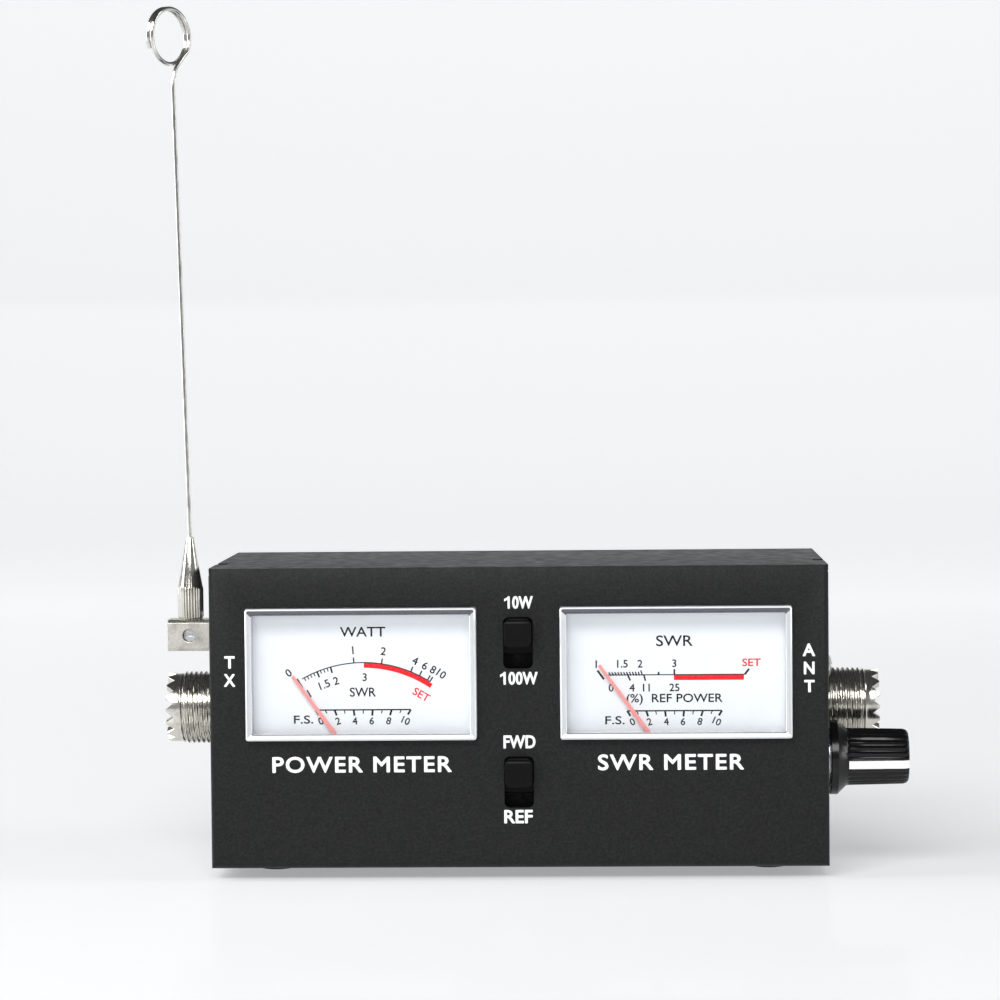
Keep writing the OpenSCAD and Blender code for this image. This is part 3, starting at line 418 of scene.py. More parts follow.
def clear_cover(side):
    """The cover as rings from the back of its outside over the rim to its face, then down its inside."""
    low, high = window[side]
    front, back, dial = low.y, panel_y + sheet_t, high.y

    def ring(inset, y, radius):
        outline = rounded_rectangle((low.x + inset, low.z + inset), (high.x - inset, high.z - inset), radius)
        return np.column_stack([outline[:, 0], np.full(len(outline), y), outline[:, 1]])

    shell = np.array([
        ring(0, back, 0.5 * mm), ring(0, front + rim_bevel, 0.5 * mm), ring(rim_bevel, front, 0.4 * mm),
        ring(cover_wall, front, 0.35 * mm), ring(cover_wall + rim_step, front + rim_step, 0.3 * mm)])
    inside = np.array([ring(cover_wall, front + cover_wall, 0.3 * mm), ring(cover_wall, back, 0.3 * mm)])
    rows, columns = shell.shape[:2]
    # along its top the rim is painted dark navy as a painted reflection of the tray, along its bottom milky white as
    # painted light
    rim_z = (shell[2, :, 2] + np.roll(shell[2, :, 2], -1)) / 2
    place = np.where(rim_z > high.z - cover_wall, 0, np.where(rim_z < low.z + cover_wall, 2, 1))
    flat_rim = np.take([on_dark_reflection, on_rim, on_painted_light], place)
    inner_step = np.take([on_dark_reflection, on_painted_light, on_dark_reflection], place)
    last, inner = (rows - 1) * columns, rows * columns
    faces = [face[::-1] for face in grid_faces(rows, columns, True)]
    faces.append([last + i for i in range(columns)][::-1])
    faces.append([inner + i for i in range(columns)])
    for i in range(columns):
        after = (i + 1) % columns
        faces.append([inner + after, inner + i, inner + columns + i, inner + columns + after])
        faces.append([inner + columns + after, inner + columns + i, i, after])
    walls = [block((x, back, low.z + wall_foot), (x + cover_wall, dial, high.z)) for x in (low.x, high.x - cover_wall)]
    made = solid(side + "_clear_cover", [(np.concatenate([shell, inside]).reshape(-1, 3), faces)] + walls,
                 face_clear, "cabinet", [side + "_window"])
    for finish in (rim_clear, painted_light_edge, dark_reflection_rim):
        made.data.materials.append(finish)
    kinds = [on_face] * columns + [on_painted_light] * columns + flat_rim.tolist() + inner_step.tolist() + [on_face] * 2
    kinds += [on_rim] * (len(made.data.polygons) - len(kinds))
    made.data.polygons.foreach_set("material_index", kinds)
    return made


def block(low, high):
    """A box by its lowest and highest corners."""
    (x0, y0, z0), (x1, y1, z1) = low, high
    points = [(x, y, z) for x in (x0, x1) for y in (y0, y1) for z in (z0, z1)]
    return np.array(points), [[0, 1, 3, 2], [4, 6, 7, 5], [0, 4, 5, 1], [2, 3, 7, 6], [0, 2, 6, 4], [1, 5, 7, 3]]


for side in window:
    clear_cover(side)


# ---------- Dials ----------
# White painted aluminium plates. The scales are printed on them in black, with the zone of a
# bad match and the SET mark in red.

def dial_paint(name):
    """White enamel with a faint cool cast and a barely visible orange peel."""
    enamel, shader = new_material(name, (0.82, 0.85, 0.89), 0.42)
    mottle = grain(enamel, 3 * mm, 3)
    connect(enamel, shader.inputs["Base Color"], between(enamel, mottle, (0.78, 0.82, 0.86), (0.84, 0.87, 0.90)))
    roughen(enamel, shader, grain(enamel, 0.5 * mm, 2), 0.004 * mm, 0.3)
    return enamel


dial_white = dial_paint("dial_enamel")
black_ink = moulded("black_ink", (0.004, 0.004, 0.005), 0.6, 0.3 * mm, 0.1)
red_ink = moulded("red_ink", (0.72, 0.004, 0.010), 0.6, 0.3 * mm, 0.1)
dial_bold = 0.035 * mm


def printed(word, middle, size, face_y, turn=0.0):
    """A word or a number in the dial's type."""
    return letters(word, middle, size, face_y, ink_t, dial_bold, turn)


def stroke(points, width, face_y):
    """A printed line: a flat strip of that width along points (x, z), with square ends, as a thin solid."""
    line = np.array(points, float)
    along = np.gradient(line, axis=0)
    along /= np.linalg.norm(along, axis=1)[:, None]
    aside = np.column_stack([-along[:, 1], along[:, 0]]) * width / 2
    left, right = line + aside, line - aside
    depth = np.full(len(line), face_y)
    grid = np.stack([np.column_stack([edge[:, 0], depth - t, edge[:, 1]])
                     for edge, t in ((left, ink_t), (right, ink_t), (right, 0), (left, 0))], 1)
    return capped(grid)


thin, medium, heavy, thick = 0.22 * mm, 0.30 * mm, 0.36 * mm, 0.42 * mm
dial_zone = 0.62 * mm


def middle_of(name):
    """The middle of a CAD node's box."""
    low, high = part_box(name)
    return (low + high) / 2


pivot = {side: middle_of(side + "_yoke") for side in window}


def tick(root, angle, length, width, face_y):
    """A short line from root (x, z), turned by that angle from upright."""
    tip = (root[0] + length * sin(angle), root[1] + length * cos(angle))
    return stroke([root, tip], width, face_y)


def field_strength_scale(left, right, z, number_z, face_y):
    """The lower scale: a straight line with eleven hanging ticks, even numbers and its two letters."""
    pieces = [stroke([(left, z), (right, z)], 1.3 * thin, face_y)]
    middle = (left + right) / 2
    for i in range(11):
        x = left + (right - left) * i / 10
        lean = (x - middle) / (right - left) * radians(62)
        if i % 2:
            pieces.append(tick((x, z), pi + lean, 0.8 * mm, thin, face_y))
        else:
            pieces.append(tick((x, z), pi + lean, 1.25 * mm, thick, face_y))
            spot = (x - 2.3 * mm * sin(lean) * 0.9, number_z)
            pieces.append(printed(str(i), spot, (1.55 * mm,), face_y, -lean * 0.8))
    pieces.append(printed("F.S.", (left - 2.6 * mm, number_z + 0.35 * mm), (4.1 * mm, 1.75 * mm), face_y))
    return pieces


def dial_plate(side):
    """The plate with the dial's own outline. Gives back the depth of its printed face."""
    face_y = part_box(side + "_dial")[0].y
    softened(side + "_dial", side + "_dial_plate", 0.08 * mm, dial_white)
    return face_y


def power_scales():
    """Watts above an arc, standing wave ratio below it, and the field strength scale."""
    face_y = dial_plate("power")
    x, z = pivot["power"].x + 0.2 * mm, pivot["power"].z - 3.2 * mm
    top = window["power"][1].z
    radius, number_tall = 26.2 * mm, 1.7 * mm

    def on_arc(degrees, out=0.0):
        a = np.radians(degrees)
        return np.stack([x + (radius + out) * np.sin(a), z + (radius + out) * np.cos(a)], -1)

    black = [stroke(on_arc(np.linspace(-29.5, 32.5, 48)), thin, face_y)]
    for degrees in (-4.2, 8.6, 22.6, 27.0, 31.2, 32.5):
        black.append(tick(on_arc(degrees), radians(degrees), 1.15 * mm, medium, face_y))
    for degrees in np.linspace(-28.4, -15.2, 9):
        if abs(degrees + 21.8) < 0.9 or degrees > -15.6:
            black.append(tick(on_arc(degrees), pi + radians(degrees), 1.3 * mm, heavy, face_y))
        else:
            black.append(tick(on_arc(degrees), pi + radians(degrees), 0.75 * mm, thin, face_y))
    black.append(tick(on_arc(-31.6, 0.6 * mm), pi + radians(-31.6), 2.3 * mm, thick, face_y))
    for number, degrees, out in (
            ("0", -33.2, 2.6), ("1", -4.2, 2.7), ("2", 8.6, 2.7), ("4", 22.6, 2.5), ("6", 27.2, 2.4), ("8", 31.0, 2.5),
            ("10", 34.9, 2.7), ("1", -30.2, -3.4), ("1.5", -20.8, -3.1), ("2", -14.4, -3.1), ("3", 0.8, -3.1)):
        black.append(printed(number, on_arc(degrees, out * mm), (number_tall,), face_y, -radians(degrees)))
    black.append(printed("WATT", (x, top - 5.25 * mm), (9.6 * mm, 2.1 * mm), face_y))
    black.append(printed("SWR", (x - 0.1 * mm, top - 18.0 * mm), (5.5 * mm, 1.95 * mm), face_y))
    black += field_strength_scale(x - 10.1 * mm, x + 10.0 * mm, top - 21.75 * mm, top - 24.1 * mm, face_y)
    solid("power_scale_print", black, black_ink, "cabinet")
    red = [stroke(on_arc(np.linspace(0.4, 34.2, 40), -dial_zone), 1.0 * mm, face_y),
           printed("SET", on_arc(32.4, -3.3 * mm), (3.7 * mm, number_tall), face_y, -radians(30))]
    solid("power_red_zone", red, red_ink, "cabinet")


def swr_scales():
    """Standing wave ratio above a straight line, reflected power below it, and the field strength scale."""
    face_y = dial_plate("swr")
    x = pivot["swr"].x - 0.35 * mm
    top = window["swr"][1].z
    line_z = top - 14.7 * mm
    black = [stroke([(x - 14.6 * mm, line_z), (x + 14.9 * mm, line_z)], thin, face_y)]
    for share in np.linspace(0, 1, 12):
        spot = (x - 13.2 * mm + 6.6 * mm * share, line_z - 0.15 * mm)
        black.append(tick(spot, radians(-34 + 16 * share), (0.85 if share < 1 else 1.15) * mm, 1.3 * thin, face_y))
    for across, up, lean, length, width in (
            (-9.7, 0, 156, 1.3, heavy), (-6.3, 0, 166, 1.3, heavy), (-14.7, -0.9, -36, 2.3, thick),
            (-3.2, 0, 0, 0.6, heavy), (0.1, 0, 0, 1.15, heavy), (14.9, 0, 38, 1.45, thick)):
        black.append(tick((x + across * mm, line_z + up * mm), radians(lean), length * mm, width, face_y))
    for number, across, up in (("1", -16.3, 2.3), ("1.5", -10.8, 2.35), ("2", -7.1, 2.35), ("3", 0.1, 2.4),
                               ("0", -13.2, -2.7), ("4", -8.8, -2.7), ("11", -5.8, -2.7), ("25", 0.1, -2.7)):
        black.append(printed(number, (x + across * mm, line_z + up * mm), (1.65 * mm,), face_y))
    black.append(printed("SWR", (x + 0.15 * mm, top - 7.55 * mm), (7.7 * mm, 2.3 * mm), face_y))
    black.append(printed("(%)  REF POWER", (x + 0.1 * mm, top - 19.9 * mm), (20.2 * mm, 2.4 * mm), face_y))
    black += field_strength_scale(x - 9.85 * mm, x + 10.05 * mm, top - 22.3 * mm, top - 24.6 * mm, face_y)
    solid("swr_scale_print", black, black_ink, "cabinet")
    zone_z = line_z - dial_zone
    red = [stroke([(x, zone_z), (x + 14.7 * mm, zone_z)], 1.05 * mm, face_y),
           printed("SET", (x + 16.3 * mm, line_z + 2.5 * mm), (3.9 * mm, 1.65 * mm), face_y)]
    solid("swr_red_zone", red, red_ink, "cabinet")


power_scales()
swr_scales()


# ---------- Needles ----------
# A red lacquered strip, flat and slim, stepped forward out of the movement to run over the dial.
# Its hub is pressed on the front staff, and a small weight at its tail balances it.

needle_rest = radians(35.8)
blade_width = (1.0 * mm, 0.62 * mm)
blade_t = 0.3 * mm
blade_depth, arm_depth = 2.0 * mm, 4.3 * mm
tail_reach = 4.2 * mm


def needle_lacquer(name):
    """Red lacquer that lets a little light through, paler where the coat is thin."""
    lacquer, shader = new_material(name, (0.80, 0.10, 0.09), 0.35)
    shader.inputs["Alpha"].default_value = 0.82
    thin_coat = grain(lacquer, 1.2 * mm, 2)
    connect(lacquer, shader.inputs["Base Color"],
            between(lacquer, thin_coat, (0.88, 0.26, 0.25), (0.92, 0.40, 0.38)))
    return lacquer


def needle(side, body):
    """The strip as four-sided rings along its run: out from the hub, forward at the step and on to the tip."""
    hub = np.array([pivot[side].x, pivot[side].z])
    reach = (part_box(side + "_needle")[1].z - hub[1] - blade_width[1] / 2 * sin(needle_rest)) / cos(needle_rest)
    blade_y, arm_y = panel_y + blade_depth, panel_y + arm_depth
    run = np.array([(-4.6 * mm, arm_y), (4.9 * mm, arm_y), (5.2 * mm, arm_y - 0.2 * mm),
                    (5.3 * mm, blade_y + 0.3 * mm), (5.6 * mm, blade_y), (reach, blade_y)])
    share = np.clip((run[:, 0] - 5 * mm) / (reach - 5 * mm), 0, 1)
    half = (blade_width[0] + (blade_width[1] - blade_width[0]) * share) / 2
    slope = np.gradient(run, axis=0)
    slope /= np.linalg.norm(slope, axis=1)[:, None]
    rings = []
    for across, through in ((-1, -1), (1, -1), (1, 1), (-1, 1)):
        along = run[:, 0] - through * slope[:, 1] * blade_t / 2
        depth = run[:, 1] + through * slope[:, 0] * blade_t / 2
        aside = across * half
        x = hub[0] - along * sin(needle_rest) + aside * cos(needle_rest)
        z = hub[1] + along * cos(needle_rest) + aside * sin(needle_rest)
        rings.append(np.column_stack([x, depth, z]))
    tail = hub + tail_reach * np.array([sin(needle_rest), -cos(needle_rest)])
    pieces = [capped(np.stack(rings, 1)),
              turned_y(hub, [(0.01, 4.0), (0.9, 4.05), (0.9, 4.6), (0.01, 4.65)]),
              turned_y(hub, [(0.01, 2.3), (0.25, 2.35), (0.4, 2.6), (0.4, 4.2), (0.01, 4.25)]),
              turned_y(tail, [(0.01, 3.9), (0.8, 3.95), (0.8, 4.6), (0.01, 4.65)])]
    return solid(side + "_needle_strip", pieces, needle_red, body, [side + "_needle"])


def turned_y(middle, profile, sides=24):
    """A turned part about an axis along Y, from (radius, depth behind the panel) in millimetres."""
    angle = np.linspace(0, 2 * pi, sides, endpoint=False)
    r, y = np.array(profile).T * mm
    grid = np.stack([middle[0] + np.outer(r, np.cos(angle)), panel_y + np.repeat(y[:, None], sides, 1),
                     middle[1] + np.outer(r, np.sin(angle))], -1)
    points, faces = capped(grid)
    return points, [face[::-1] for face in faces]


needle_red = needle_lacquer("needle_lacquer")
needle("power", "power_movement")
needle("swr", "swr_movement")


# ---------- Slide switches ----------
# Two double-pole slide switches with black levers in a pair of upright slots. Their frames, coloured
# near black, sit against the back of the panel, and their pins pass through a small upright board.

lever_black = moulded("lever_moulding", (0.0012, 0.0012, 0.0015), 0.4, 0.5 * mm, 0.12)
# the switch frames get a near-black colour
near_black_frame = plated("near_black_frame_steel", (0.012, 0.012, 0.013), 0.45)
for place in ("range", "function"):
    softened(place + "_switch_lever", place + "_lever_cap", 0.35 * mm, lever_black, 3)
    dress(near_black_frame, place + "_switch_body")


def board_laminate(name):
    """Phenolic paper laminate: warm brown with faint fibres."""
    laminate, shader = new_material(name, (0.42, 0.24, 0.09), 0.5)
    fibres = grain(laminate, 0.5 * mm, 5, (6, 1, 1))
    connect(laminate, shader.inputs["Base Color"],
            between(laminate, spread(laminate, fibres, 0, 1), (0.33, 0.17, 0.06), (0.50, 0.30, 0.12)))
    roughen(laminate, shader, fibres, 0.01 * mm, 0.4)
    return laminate


laminate = board_laminate("phenolic_laminate")
dress(laminate, "switch_board", "coupler_board")
dress(tin, "switch_terminals")
dress(zinc, "switch_board_studs")


# ---------- Coaxial sockets ----------
# Nickel-plated brass shells with a 16 mm thread of 1.06 mm pitch and a rim cut with sixteen V
# notches that key the plug. A cream insulator holds the silvered centre contact.

thread_pitch = 1.0583 * mm
thread_depth = 0.5 * mm
barrel_r, rim_r, bore_r = 7.94 * mm, 7.49 * mm, 5.79 * mm
notches = 16
notch_depth = 1.55 * mm
flange_t = 1.58 * mm


def nickel_plate(name, colour, roughness):
    """Bright nickel with a warm cast, fine turning marks and a few duller stains."""
    metal, shader = new_material(name, colour, roughness, 1.0)
    stain = grain(metal, 2.2 * mm, 4)
    marks = grain(metal, 0.16 * mm, 4, (1, 4, 4))
    dull = tuple(0.62 * c for c in colour)
    connect(metal, shader.inputs["Base Color"], between(metal, spread(metal, stain, 0, 1, 0.28, 0.5), dull, colour))
    connect(metal, shader.inputs["Roughness"], spread(metal, marks, 0.7 * roughness, 1.6 * roughness))
    roughen(metal, shader, marks, 0.008 * mm, 0.35)
    return metal


nickel = nickel_plate("nickel_plate", (0.72, 0.70, 0.64), 0.16)
cast_nickel = nickel_plate("cast_nickel", (0.66, 0.64, 0.58), 0.30)
silver = nickel_plate("silver_plate", (0.80, 0.78, 0.72), 0.2)
insulator = moulded("cream_insulator", (0.74, 0.67, 0.52), 0.35)
cabinet_low, cabinet_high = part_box("chassis")


def out_of_side(side, points):
    """Points given as (out of the cabinet's side, along Y, up), moved to the side: -1 is left, 1 is right."""
    wall = cabinet_low.x if side < 0 else cabinet_high.x
    return np.stack([wall + side * points[..., 0], points[..., 1], points[..., 2]], -1)


def endless(grid, flip=False):
    """A closed skin from a grid of rings whose last ring joins the first; flip turns its faces round."""
    rows, columns = grid.shape[:2]
    faces = grid_faces(rows, columns, True)
    last = (rows - 1) * columns
    faces += [[last + i, last + (i + 1) % columns, (i + 1) % columns, i] for i in range(columns)]
    return grid.reshape(-1, 3), [face[::-1] for face in faces] if flip else faces


def socket_shell(name, side):
    """The barrel's surface is a radius over angle and length: a V thread that winds along the length
    and fades at both ends, then the plain rim, whose end falls into sixteen notches."""
    axis = middle_of(name + "_socket_shell")
    start, thread_end, rim_end = 0.2 * mm, 9.6 * mm, 12.6 * mm
    root, neck_r = start - 2.4 * mm, barrel_r - 0.2 * mm
    angle = np.linspace(0, 2 * pi, 192, endpoint=False)
    length = np.linspace(start, thread_end, 110)
    phase = (length[:, None] / thread_pitch - side * angle / (2 * pi)) % 1
    ridge = np.clip(1.25 - 2.5 * np.abs(phase - 0.5) * 1.15, 0, 1)
    fade = np.clip(np.minimum(length - start, thread_end - length) / (0.9 * mm), 0, 1)[:, None]
    thread = barrel_r - thread_depth * (1 - ridge * (0.35 + 0.65 * fade))
    notch = np.clip(1 - np.abs((angle * notches / (2 * pi)) % 1 - 0.5) * 4.0 / 1.7, 0, 1) * notch_depth
    edge = rim_end - notch
    ones = np.ones_like(angle)
    rings = [(length[:, None], thread), (thread_end + 0.25 * mm, rim_r), (rim_end - 1.8 * mm, rim_r),
             (edge - 0.12 * mm, rim_r), (edge, rim_r - 0.12 * mm), (edge, bore_r + 0.1 * mm),
             (edge - 0.1 * mm, bore_r), (rim_end - 1.9 * mm, bore_r), (root, bore_r), (root, neck_r), (start, neck_r)]
    out = np.vstack([o * ones for o, r in rings])
    radius = np.vstack([r * ones for o, r in rings])
    grid = out_of_side(side, np.stack([out, axis.y + radius * np.cos(angle), axis.z + radius * np.sin(angle)], -1))
    return solid(name + "_threaded_shell", [endless(grid, side < 0), flange(name, side)],
                 nickel, "cabinet", [name + "_socket_shell"])


def flange(name, side):
    """The square plate behind the cabinet's side, from its outer corners in to the bore, with round corners."""
    low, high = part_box(name + "_socket_shell")
    axis = middle_of(name + "_socket_shell")
    inner_x = high.x if side < 0 else low.x
    wall_x = inner_x + side * flange_t
    angle = np.linspace(0, 2 * pi, 96, endpoint=False)
    half = (high.y - low.y) / 2
    square = half / np.maximum(np.abs(np.cos(angle)), np.abs(np.sin(angle)))
    reach = np.minimum(square, half * 1.36)
    grid = np.stack([np.stack([np.full_like(angle, x), axis.y + r * np.cos(angle), axis.z + r * np.sin(angle)], -1)
                     for x, r in ((inner_x, bore_r), (inner_x, reach), (wall_x, reach), (wall_x, bore_r))])
    return endless(grid, side < 0)


for name, side in (("tx", -1), ("ant", 1)):
    socket_shell(name, side)
    softened(name + "_socket_insulator", name + "_cream_insulator", 0.2 * mm, insulator)
    softened(name + "_socket_contact", name + "_contact_tube", 0.15 * mm, silver)
softened("socket_screws", "socket_screw_set", 0.12 * mm, zinc)
dress(zinc, "socket_nuts")


# ---------- Calibration knob and its control ----------
# A push-on knob in glossy black plastic with a skirt, a fluted grip and a white line, on the
# steel shaft of a rotary control that is held in the cabinet's side by a nut.

knob_black = moulded("knob_moulding", (0.0025, 0.0025, 0.003), 0.2, 0.5 * mm, 0.3)
line_white = moulded("knob_line_paint", (0.90, 0.90, 0.88), 0.4)
knob_axis = middle_of("cal_knob")
flutes = 30


def knob_surface(out, radius, flute, angle):
    """A turned surface of radius over distance out, with shallow round flutes of that depth."""
    depth = flute[:, None] * (0.5 - 0.5 * np.cos(flutes * angle)) ** 0.6
    r = radius[:, None] - depth
    return out_of_side(1, np.stack([out[:, None] * np.ones_like(r), knob_axis.y + r * np.cos(angle),
                                    knob_axis.z + r * np.sin(angle)], -1))


def calibration_knob():
    """The knob's outside from the skirt over the cone and the fluted grip to the dished end, then its recesses."""
    profile = np.array([
        (0.70, 7.85, 0), (0.85, 8.0, 0), (2.25, 8.0, 0), (2.40, 7.85, 0), (4.10, 6.20, 0), (4.35, 6.08, 0.04),
        (4.9, 6.06, 0.24), (8, 6.0, 0.24), (12, 5.92, 0.24), (16.2, 5.83, 0.22), (16.9, 5.62, 0.10),
        (17.25, 5.25, 0), (17.30, 4.9, 0), (17.2, 4.6, 0), (17.12, 0.02, 0)]) * mm
    angle = np.linspace(0, 2 * pi, 12 * flutes, endpoint=False)
    recess = np.array([(13.9, 0.02, 0), (14.0, 3.0, 0), (4.8, 3.0, 0), (4.8, 4.0, 0), (2.9, 4.0, 0),
                       (2.9, 6.4, 0), (0.70, 6.4, 0)]) * mm
    points, faces = endless(np.concatenate([knob_surface(*shape.T, angle) for shape in (profile, recess)]))
    columns = len(angle)
    end, start = (len(profile) - 1) * columns, len(profile) * columns
    faces[end:start] = [[end + i for i in range(columns)], [start + i for i in range(columns)][::-1]]
    return solid("fluted_knob", [(points, faces)], knob_black, "calibration_knob", ["cal_knob"])


calibration_knob()


def knob_line():
    """The white line: a strip along the grip that follows its taper and turns over onto its end."""
    tilt = radians(11)
    half = 0.85 * mm
    run = np.array([(4.5, 6.14), (4.8, 6.16), (8, 6.1), (12, 6.02), (16.3, 5.93), (17.0, 5.70),
                    (17.3, 5.3), (17.30, 4.75)]) * mm
    rows = []
    for aside, sink in ((-half, 0.55 * mm), (-half, 0), (0, -0.06 * mm), (half, 0), (half, 0.55 * mm)):
        r = run[:, 1] - sink
        out = run[:, 0] - (sink > 0) * np.clip((run[:, 0] - 16 * mm) / (1.3 * mm), 0, 1) * sink * 0.6
        y = knob_axis.y - r * cos(tilt) - aside * sin(tilt)
        z = knob_axis.z - r * sin(tilt) + aside * cos(tilt)
        rows.append(np.column_stack([out, y, z]))
    grid = out_of_side(1, np.stack(rows[::-1], 1))
    return solid("knob_white_line", [capped(grid)], line_white, "calibration_knob",
                 ["cal_knob_line"])


knob_line()
control_blue = moulded("control_moulding", (0.03, 0.05, 0.09), 0.4)
dress(control_blue, "cal_pot_body")
dress(zinc, "cal_pot_shaft", "cal_pot_nut")


# ---------- Coupler ----------
# The board between the two sockets: a copper rod joins their centre contacts, with a pickup
# line on each side of it, and diodes, resistors, capacitors and two trimmers.

bare_copper = plated("bare_copper", (0.70, 0.36, 0.20), 0.3)


def banded(name, body, band, pitch, direction="Y"):
    """A small part's lacquered body with printed bands across it."""
    lacquer, shader = new_material(name, body, 0.35)
    place = add_node(lacquer, "ShaderNodeTexCoord").outputs["Object"]
    bands = add_node(lacquer, "ShaderNodeTexWave", Vector=place, Scale=0.5 / pitch, Distortion=0.0)
    bands.bands_direction = direction
    share = spread(lacquer, bands.outputs["Fac"], 0, 1, 0.72, 0.80)
    connect(lacquer, shader.inputs["Base Color"], between(lacquer, share, body, band))
    return lacquer


dress(bare_copper, "coupler_main_line", "coupler_pickup_lines")
dress(banded("diode_glass", (0.62, 0.16, 0.05), (0.02, 0.02, 0.02), 3 * mm), "coupler_diodes")
dress(banded("resistor_lacquer", (0.60, 0.46, 0.27), (0.30, 0.05, 0.03), 1 * mm), "coupler_resistors")
dress(moulded("ceramic_disc", (0.50, 0.24, 0.07), 0.5), "coupler_capacitors")
dress(moulded("trimmer_moulding", (0.03, 0.13, 0.34), 0.4), "coupler_trimmers")


# ---------- Field strength antenna ----------
# A nickelled block turns in an insulating bush. It clamps a ferrule with a straight knurl and a
# long cone, which holds a spring steel wire with a ring wound at its tip.

bush_white = moulded("bush_nylon", (0.70, 0.67, 0.60), 0.45)
softened("antenna_bush", "nylon_bush", 0.1 * mm, bush_white)
softened("antenna_block", "swivel_block", 0.3 * mm, cast_nickel, 3)
softened("antenna_set_screw", "clamp_screw", 0.08 * mm, zinc)
dress(zinc, "antenna_nut")
bright_steel = nickel_plate("spring_steel", (0.66, 0.65, 0.62), 0.14)

ferrule_low, ferrule_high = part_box("antenna_ferrule")
ferrule_axis = middle_of("antenna_ferrule")
block_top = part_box("antenna_block")[1].z
shank_r, knurl_r, wire_hole_r = 1.5 * mm, 2.75 * mm, 0.56 * mm
knurl_teeth = 26
tooth_depth = 0.30 * mm


def ferrule():
    """A radius over height and angle: a shank, a barrel whose teeth are a wave around it, and a long cone.
    The last number of each ring says how much of the teeth's depth it has."""
    foot, top = ferrule_low.z, ferrule_high.z
    barrel_top = block_top + 6.9 * mm
    profile = np.array([
        (foot, 0.02 * mm, 0), (foot, shank_r - 0.1 * mm, 0), (foot + 0.1 * mm, shank_r, 0),
        (block_top, shank_r, 0), (block_top + 0.02 * mm, 2.3 * mm, 0), (block_top + 0.30 * mm, 2.62 * mm, 0.3),
        (block_top + 0.55 * mm, knurl_r, 1), (barrel_top - 0.5 * mm, knurl_r, 1),
        (barrel_top - 0.15 * mm, 2.68 * mm, 0.4), (barrel_top + 0.1 * mm, 2.6 * mm, 0),
        (barrel_top + 4 * mm, 1.9 * mm, 0), (top - 0.25 * mm, 0.84 * mm, 0), (top - 0.05 * mm, 0.74 * mm, 0),
        (top, 0.60 * mm, 0), (top, wire_hole_r, 0), (top - 2.9 * mm, wire_hole_r, 0), (top - 3.0 * mm, 0.02 * mm, 0)])
    angle = np.linspace(0, 2 * pi, knurl_teeth * 8, endpoint=False)
    tooth = tooth_depth * np.abs(np.sin(knurl_teeth * angle / 2)) ** 1.2
    radius = profile[:, 1:2] - profile[:, 2:3] * (tooth_depth - tooth)
    grid = np.stack([ferrule_axis.x + radius * np.cos(angle), ferrule_axis.y + radius * np.sin(angle),
                     profile[:, 0:1] * np.ones_like(angle)], -1)
    return solid("knurled_ferrule", [capped(grid)], nickel, "antenna_arm", ["antenna_ferrule"])


ferrule()


def swept_wire(path, radius, sides=16):
    """A round wire along a path: each ring lies square to the path, in the two directions that the
    path's cross product with Y gives."""
    along = np.gradient(path, axis=0)
    along /= np.linalg.norm(along, axis=1)[:, None]
    first = np.cross(along, [0.0, 1.0, 0.0])
    first /= np.linalg.norm(first, axis=1)[:, None]
    second = np.cross(along, first)
    angle = np.linspace(0, 2 * pi, sides, endpoint=False)[:, None]
    return path[:, None] + radius * (np.cos(angle) * first[:, None] + np.sin(angle) * second[:, None])


whip_wire_r = 0.46 * mm
wire_foot, straight_length = 2.85 * mm, 99.3 * mm
ring_radius, ring_pitch, ring_turns = 5.85 * mm, 1.05 * mm, 1.72
ring_start, ring_shift = -35, -0.35 * mm


def whip():
    """The wire's run: up out of the ferrule, straight with a slight lean, round the ring like a coil
    spring's turn, with its two corners eased by a curve through the neighbouring points."""
    lean, turn = radians(1.4), radians(58)
    side_way = np.array([cos(turn), sin(turn), 0])
    axle = np.array([-sin(turn), cos(turn), 0])
    up = np.array([0, 0, 1.0])
    foot = np.array([ferrule_axis.x, ferrule_axis.y, ferrule_high.z - wire_foot])
    bend = foot + (wire_foot + 0.5 * mm) * up
    neck = bend + straight_length * np.array([-sin(lean), 0, cos(lean)])
    middle = neck + np.array([ring_shift, 0, ring_radius + 1 * mm])
    degrees = np.arange(0, 360 * ring_turns - 14.9, 3.0)[:, None] + ring_start
    a = np.radians(degrees)
    ring = middle + ring_radius * (np.cos(a) * side_way + np.sin(a) * up) + (degrees - 130) / 360 * ring_pitch * axle
    stem = bend + np.linspace(0, 1, 40)[:, None] * (neck - bend)
    rough = np.concatenate([[foot], foot + (bend - foot) * np.linspace(0.3, 0.9, 3)[:, None], stem, ring])
    rough[1:-1] = 0.25 * rough[:-2] + 0.5 * rough[1:-1] + 0.25 * rough[2:]
    return solid("ringed_whip", [capped(swept_wire(rough, whip_wire_r))], bright_steel, "antenna_arm",
                 ["antenna_whip"])


whip()


# ---------- Hook-up wires ----------
# Plastic-covered stranded wire from the meters, the control and the antenna's solder tag to
# the coupler board, held inside the case at both ends.

dress(moulded("red_wire_cover", (0.40, 0.012, 0.012), 0.35), "meter_wires")
dress(moulded("black_wire_cover", (0.012, 0.012, 0.013), 0.35), "pot_wires")
dress(moulded("yellow_wire_cover", (0.70, 0.44, 0.02), 0.35), "antenna_tag_wire")


# ---------- Table, backdrop, lights and camera ----------
# A pale, slightly glossy table that runs up into a plain backdrop and glows a little, so it stays
# white behind the object, a broad soft light from the front, high up, and a strip on each side.

table_front, table_depth, table_half = -3.0, 1.6, 4.0
sweep_radius, wall_top = 0.9, 1.1
under_feet = 0.02 * mm


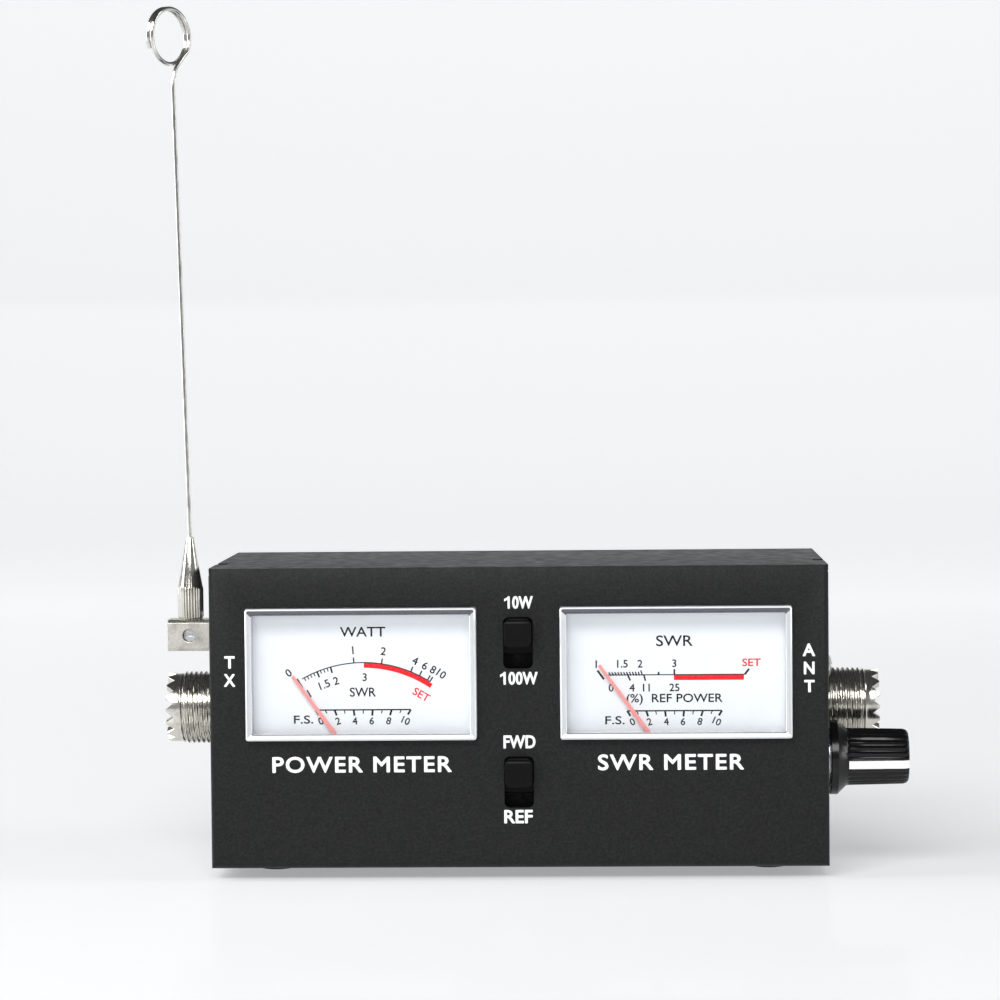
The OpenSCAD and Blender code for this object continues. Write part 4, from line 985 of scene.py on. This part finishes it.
def sweep():
    """The table and backdrop as one sheet: flat, then a quarter circle up, then a wall."""
    angle = np.linspace(0, pi / 2, 24)
    curve = np.column_stack([table_depth + sweep_radius * np.sin(angle), sweep_radius - sweep_radius * np.cos(angle)])
    side = np.concatenate([[(table_front, 0.0)], curve, [(table_depth + sweep_radius, wall_top)]])
    grid = np.stack([np.column_stack([np.full(len(side), x), side[:, 0], side[:, 1] + foot_z - under_feet])
                     for x in (-table_half, table_half)], 1)
    mesh = bpy.data.meshes.new("pale_sweep")
    mesh.from_pydata(grid.reshape(-1, 3), [], [f[::-1] for f in grid_faces(len(side), 2, False)])
    paper, shader = new_material("sweep_white", (0.62, 0.625, 0.63), 0.9)
    shader.inputs["Specular IOR Level"].default_value = 0.0
    place = add_node(paper, "ShaderNodeTexCoord").outputs["Object"]
    far = add_node(paper, "ShaderNodeSeparateXYZ", Vector=place).outputs["Y"]
    connect(paper, shader.inputs["Emission Color"], (0.97, 0.985, 1.0, 1))
    connect(paper, shader.inputs["Emission Strength"], spread(paper, far, 0.37, 0.68, 0.05, 0.75))
    gloss = add_node(paper, "ShaderNodeBsdfGlossy", Color=(1, 1, 1, 1), Roughness=0.06)
    blend = add_node(paper, "ShaderNodeMixShader", Fac=0.035)
    connect(paper, blend.inputs[1], shader.outputs[0])
    connect(paper, blend.inputs[2], gloss.outputs[0])
    connect(paper, paper.node_tree.nodes["Material Output"].inputs["Surface"], blend.outputs[0])
    mesh.materials.append(paper)
    mesh.shade_smooth()
    made = bpy.data.objects.new("pale_sweep", mesh)
    bpy.context.scene.collection.objects.link(made)


sweep()


def look_along(direction):
    """A rotation whose -Z points along direction, with +Y as near up as it can be."""
    back = -np.array(direction) / np.linalg.norm(direction)
    side = np.cross([0, 0, 1.0], back)
    side /= np.linalg.norm(side)
    return Matrix(np.column_stack([side, np.cross(back, side), back]).tolist()).to_4x4()


light_aim = np.array((0, 0, 0.05))
# each soft light: its place, its width and height in metres, and its power in watts
for name, place, size, power in (
        ("key_softbox", (-0.25, -1.15, 0.85), (1.2, 0.55), 18.5),
        ("left_strip", (-0.9, -0.1, 0.35), (0.35, 0.9), 5.5),
        ("right_strip", (0.9, -0.1, 0.35), (0.15, 0.9), 2.5)):
    light = bpy.data.lights.new(name, "AREA")
    light.shape = "RECTANGLE"
    light.size, light.size_y = size
    light.energy = power
    stand = bpy.data.objects.new(name, light)
    bpy.context.scene.collection.objects.link(stand)
    stand.matrix_world = Matrix.Translation(place) @ look_along(light_aim - np.array(place))

world = bpy.data.worlds.new("studio")
bpy.context.scene.world = world
world.use_nodes = True
direction = add_node(world, "ShaderNodeTexCoord").outputs["Generated"]
upward = add_node(world, "ShaderNodeSeparateXYZ", Vector=direction).outputs["Z"]
room = world.node_tree.nodes["Background"]
room.inputs["Color"].default_value = (0.95, 0.97, 1.0, 1)
connect(world, room.inputs["Strength"], spread(world, upward, 0.30, 0.06, 0.15, 0.75))

# the camera stands 0.7 m in front of the panel, level with the lower half of the whip
lens = bpy.data.cameras.new("camera")
lens.sensor_width, lens.lens = 36, 120.2
camera = bpy.data.objects.new("camera", lens)
bpy.context.scene.collection.objects.link(camera)
eye = (0.01692, -0.72619, 0.11066)
yaw, pitch, roll = radians(1.900), radians(-2.515), radians(0.527)
level = Matrix.Rotation(yaw, 3, "Z") @ Matrix.Rotation(pitch, 3, "X") @ Matrix.Rotation(roll, 3, "Y")
camera.matrix_world = Matrix.Translation(eye) @ (level @ Matrix.Rotation(pi / 2, 3, "X")).to_4x4()
bpy.context.scene.camera = camera
bpy.context.scene.view_settings.view_transform = "Standard"
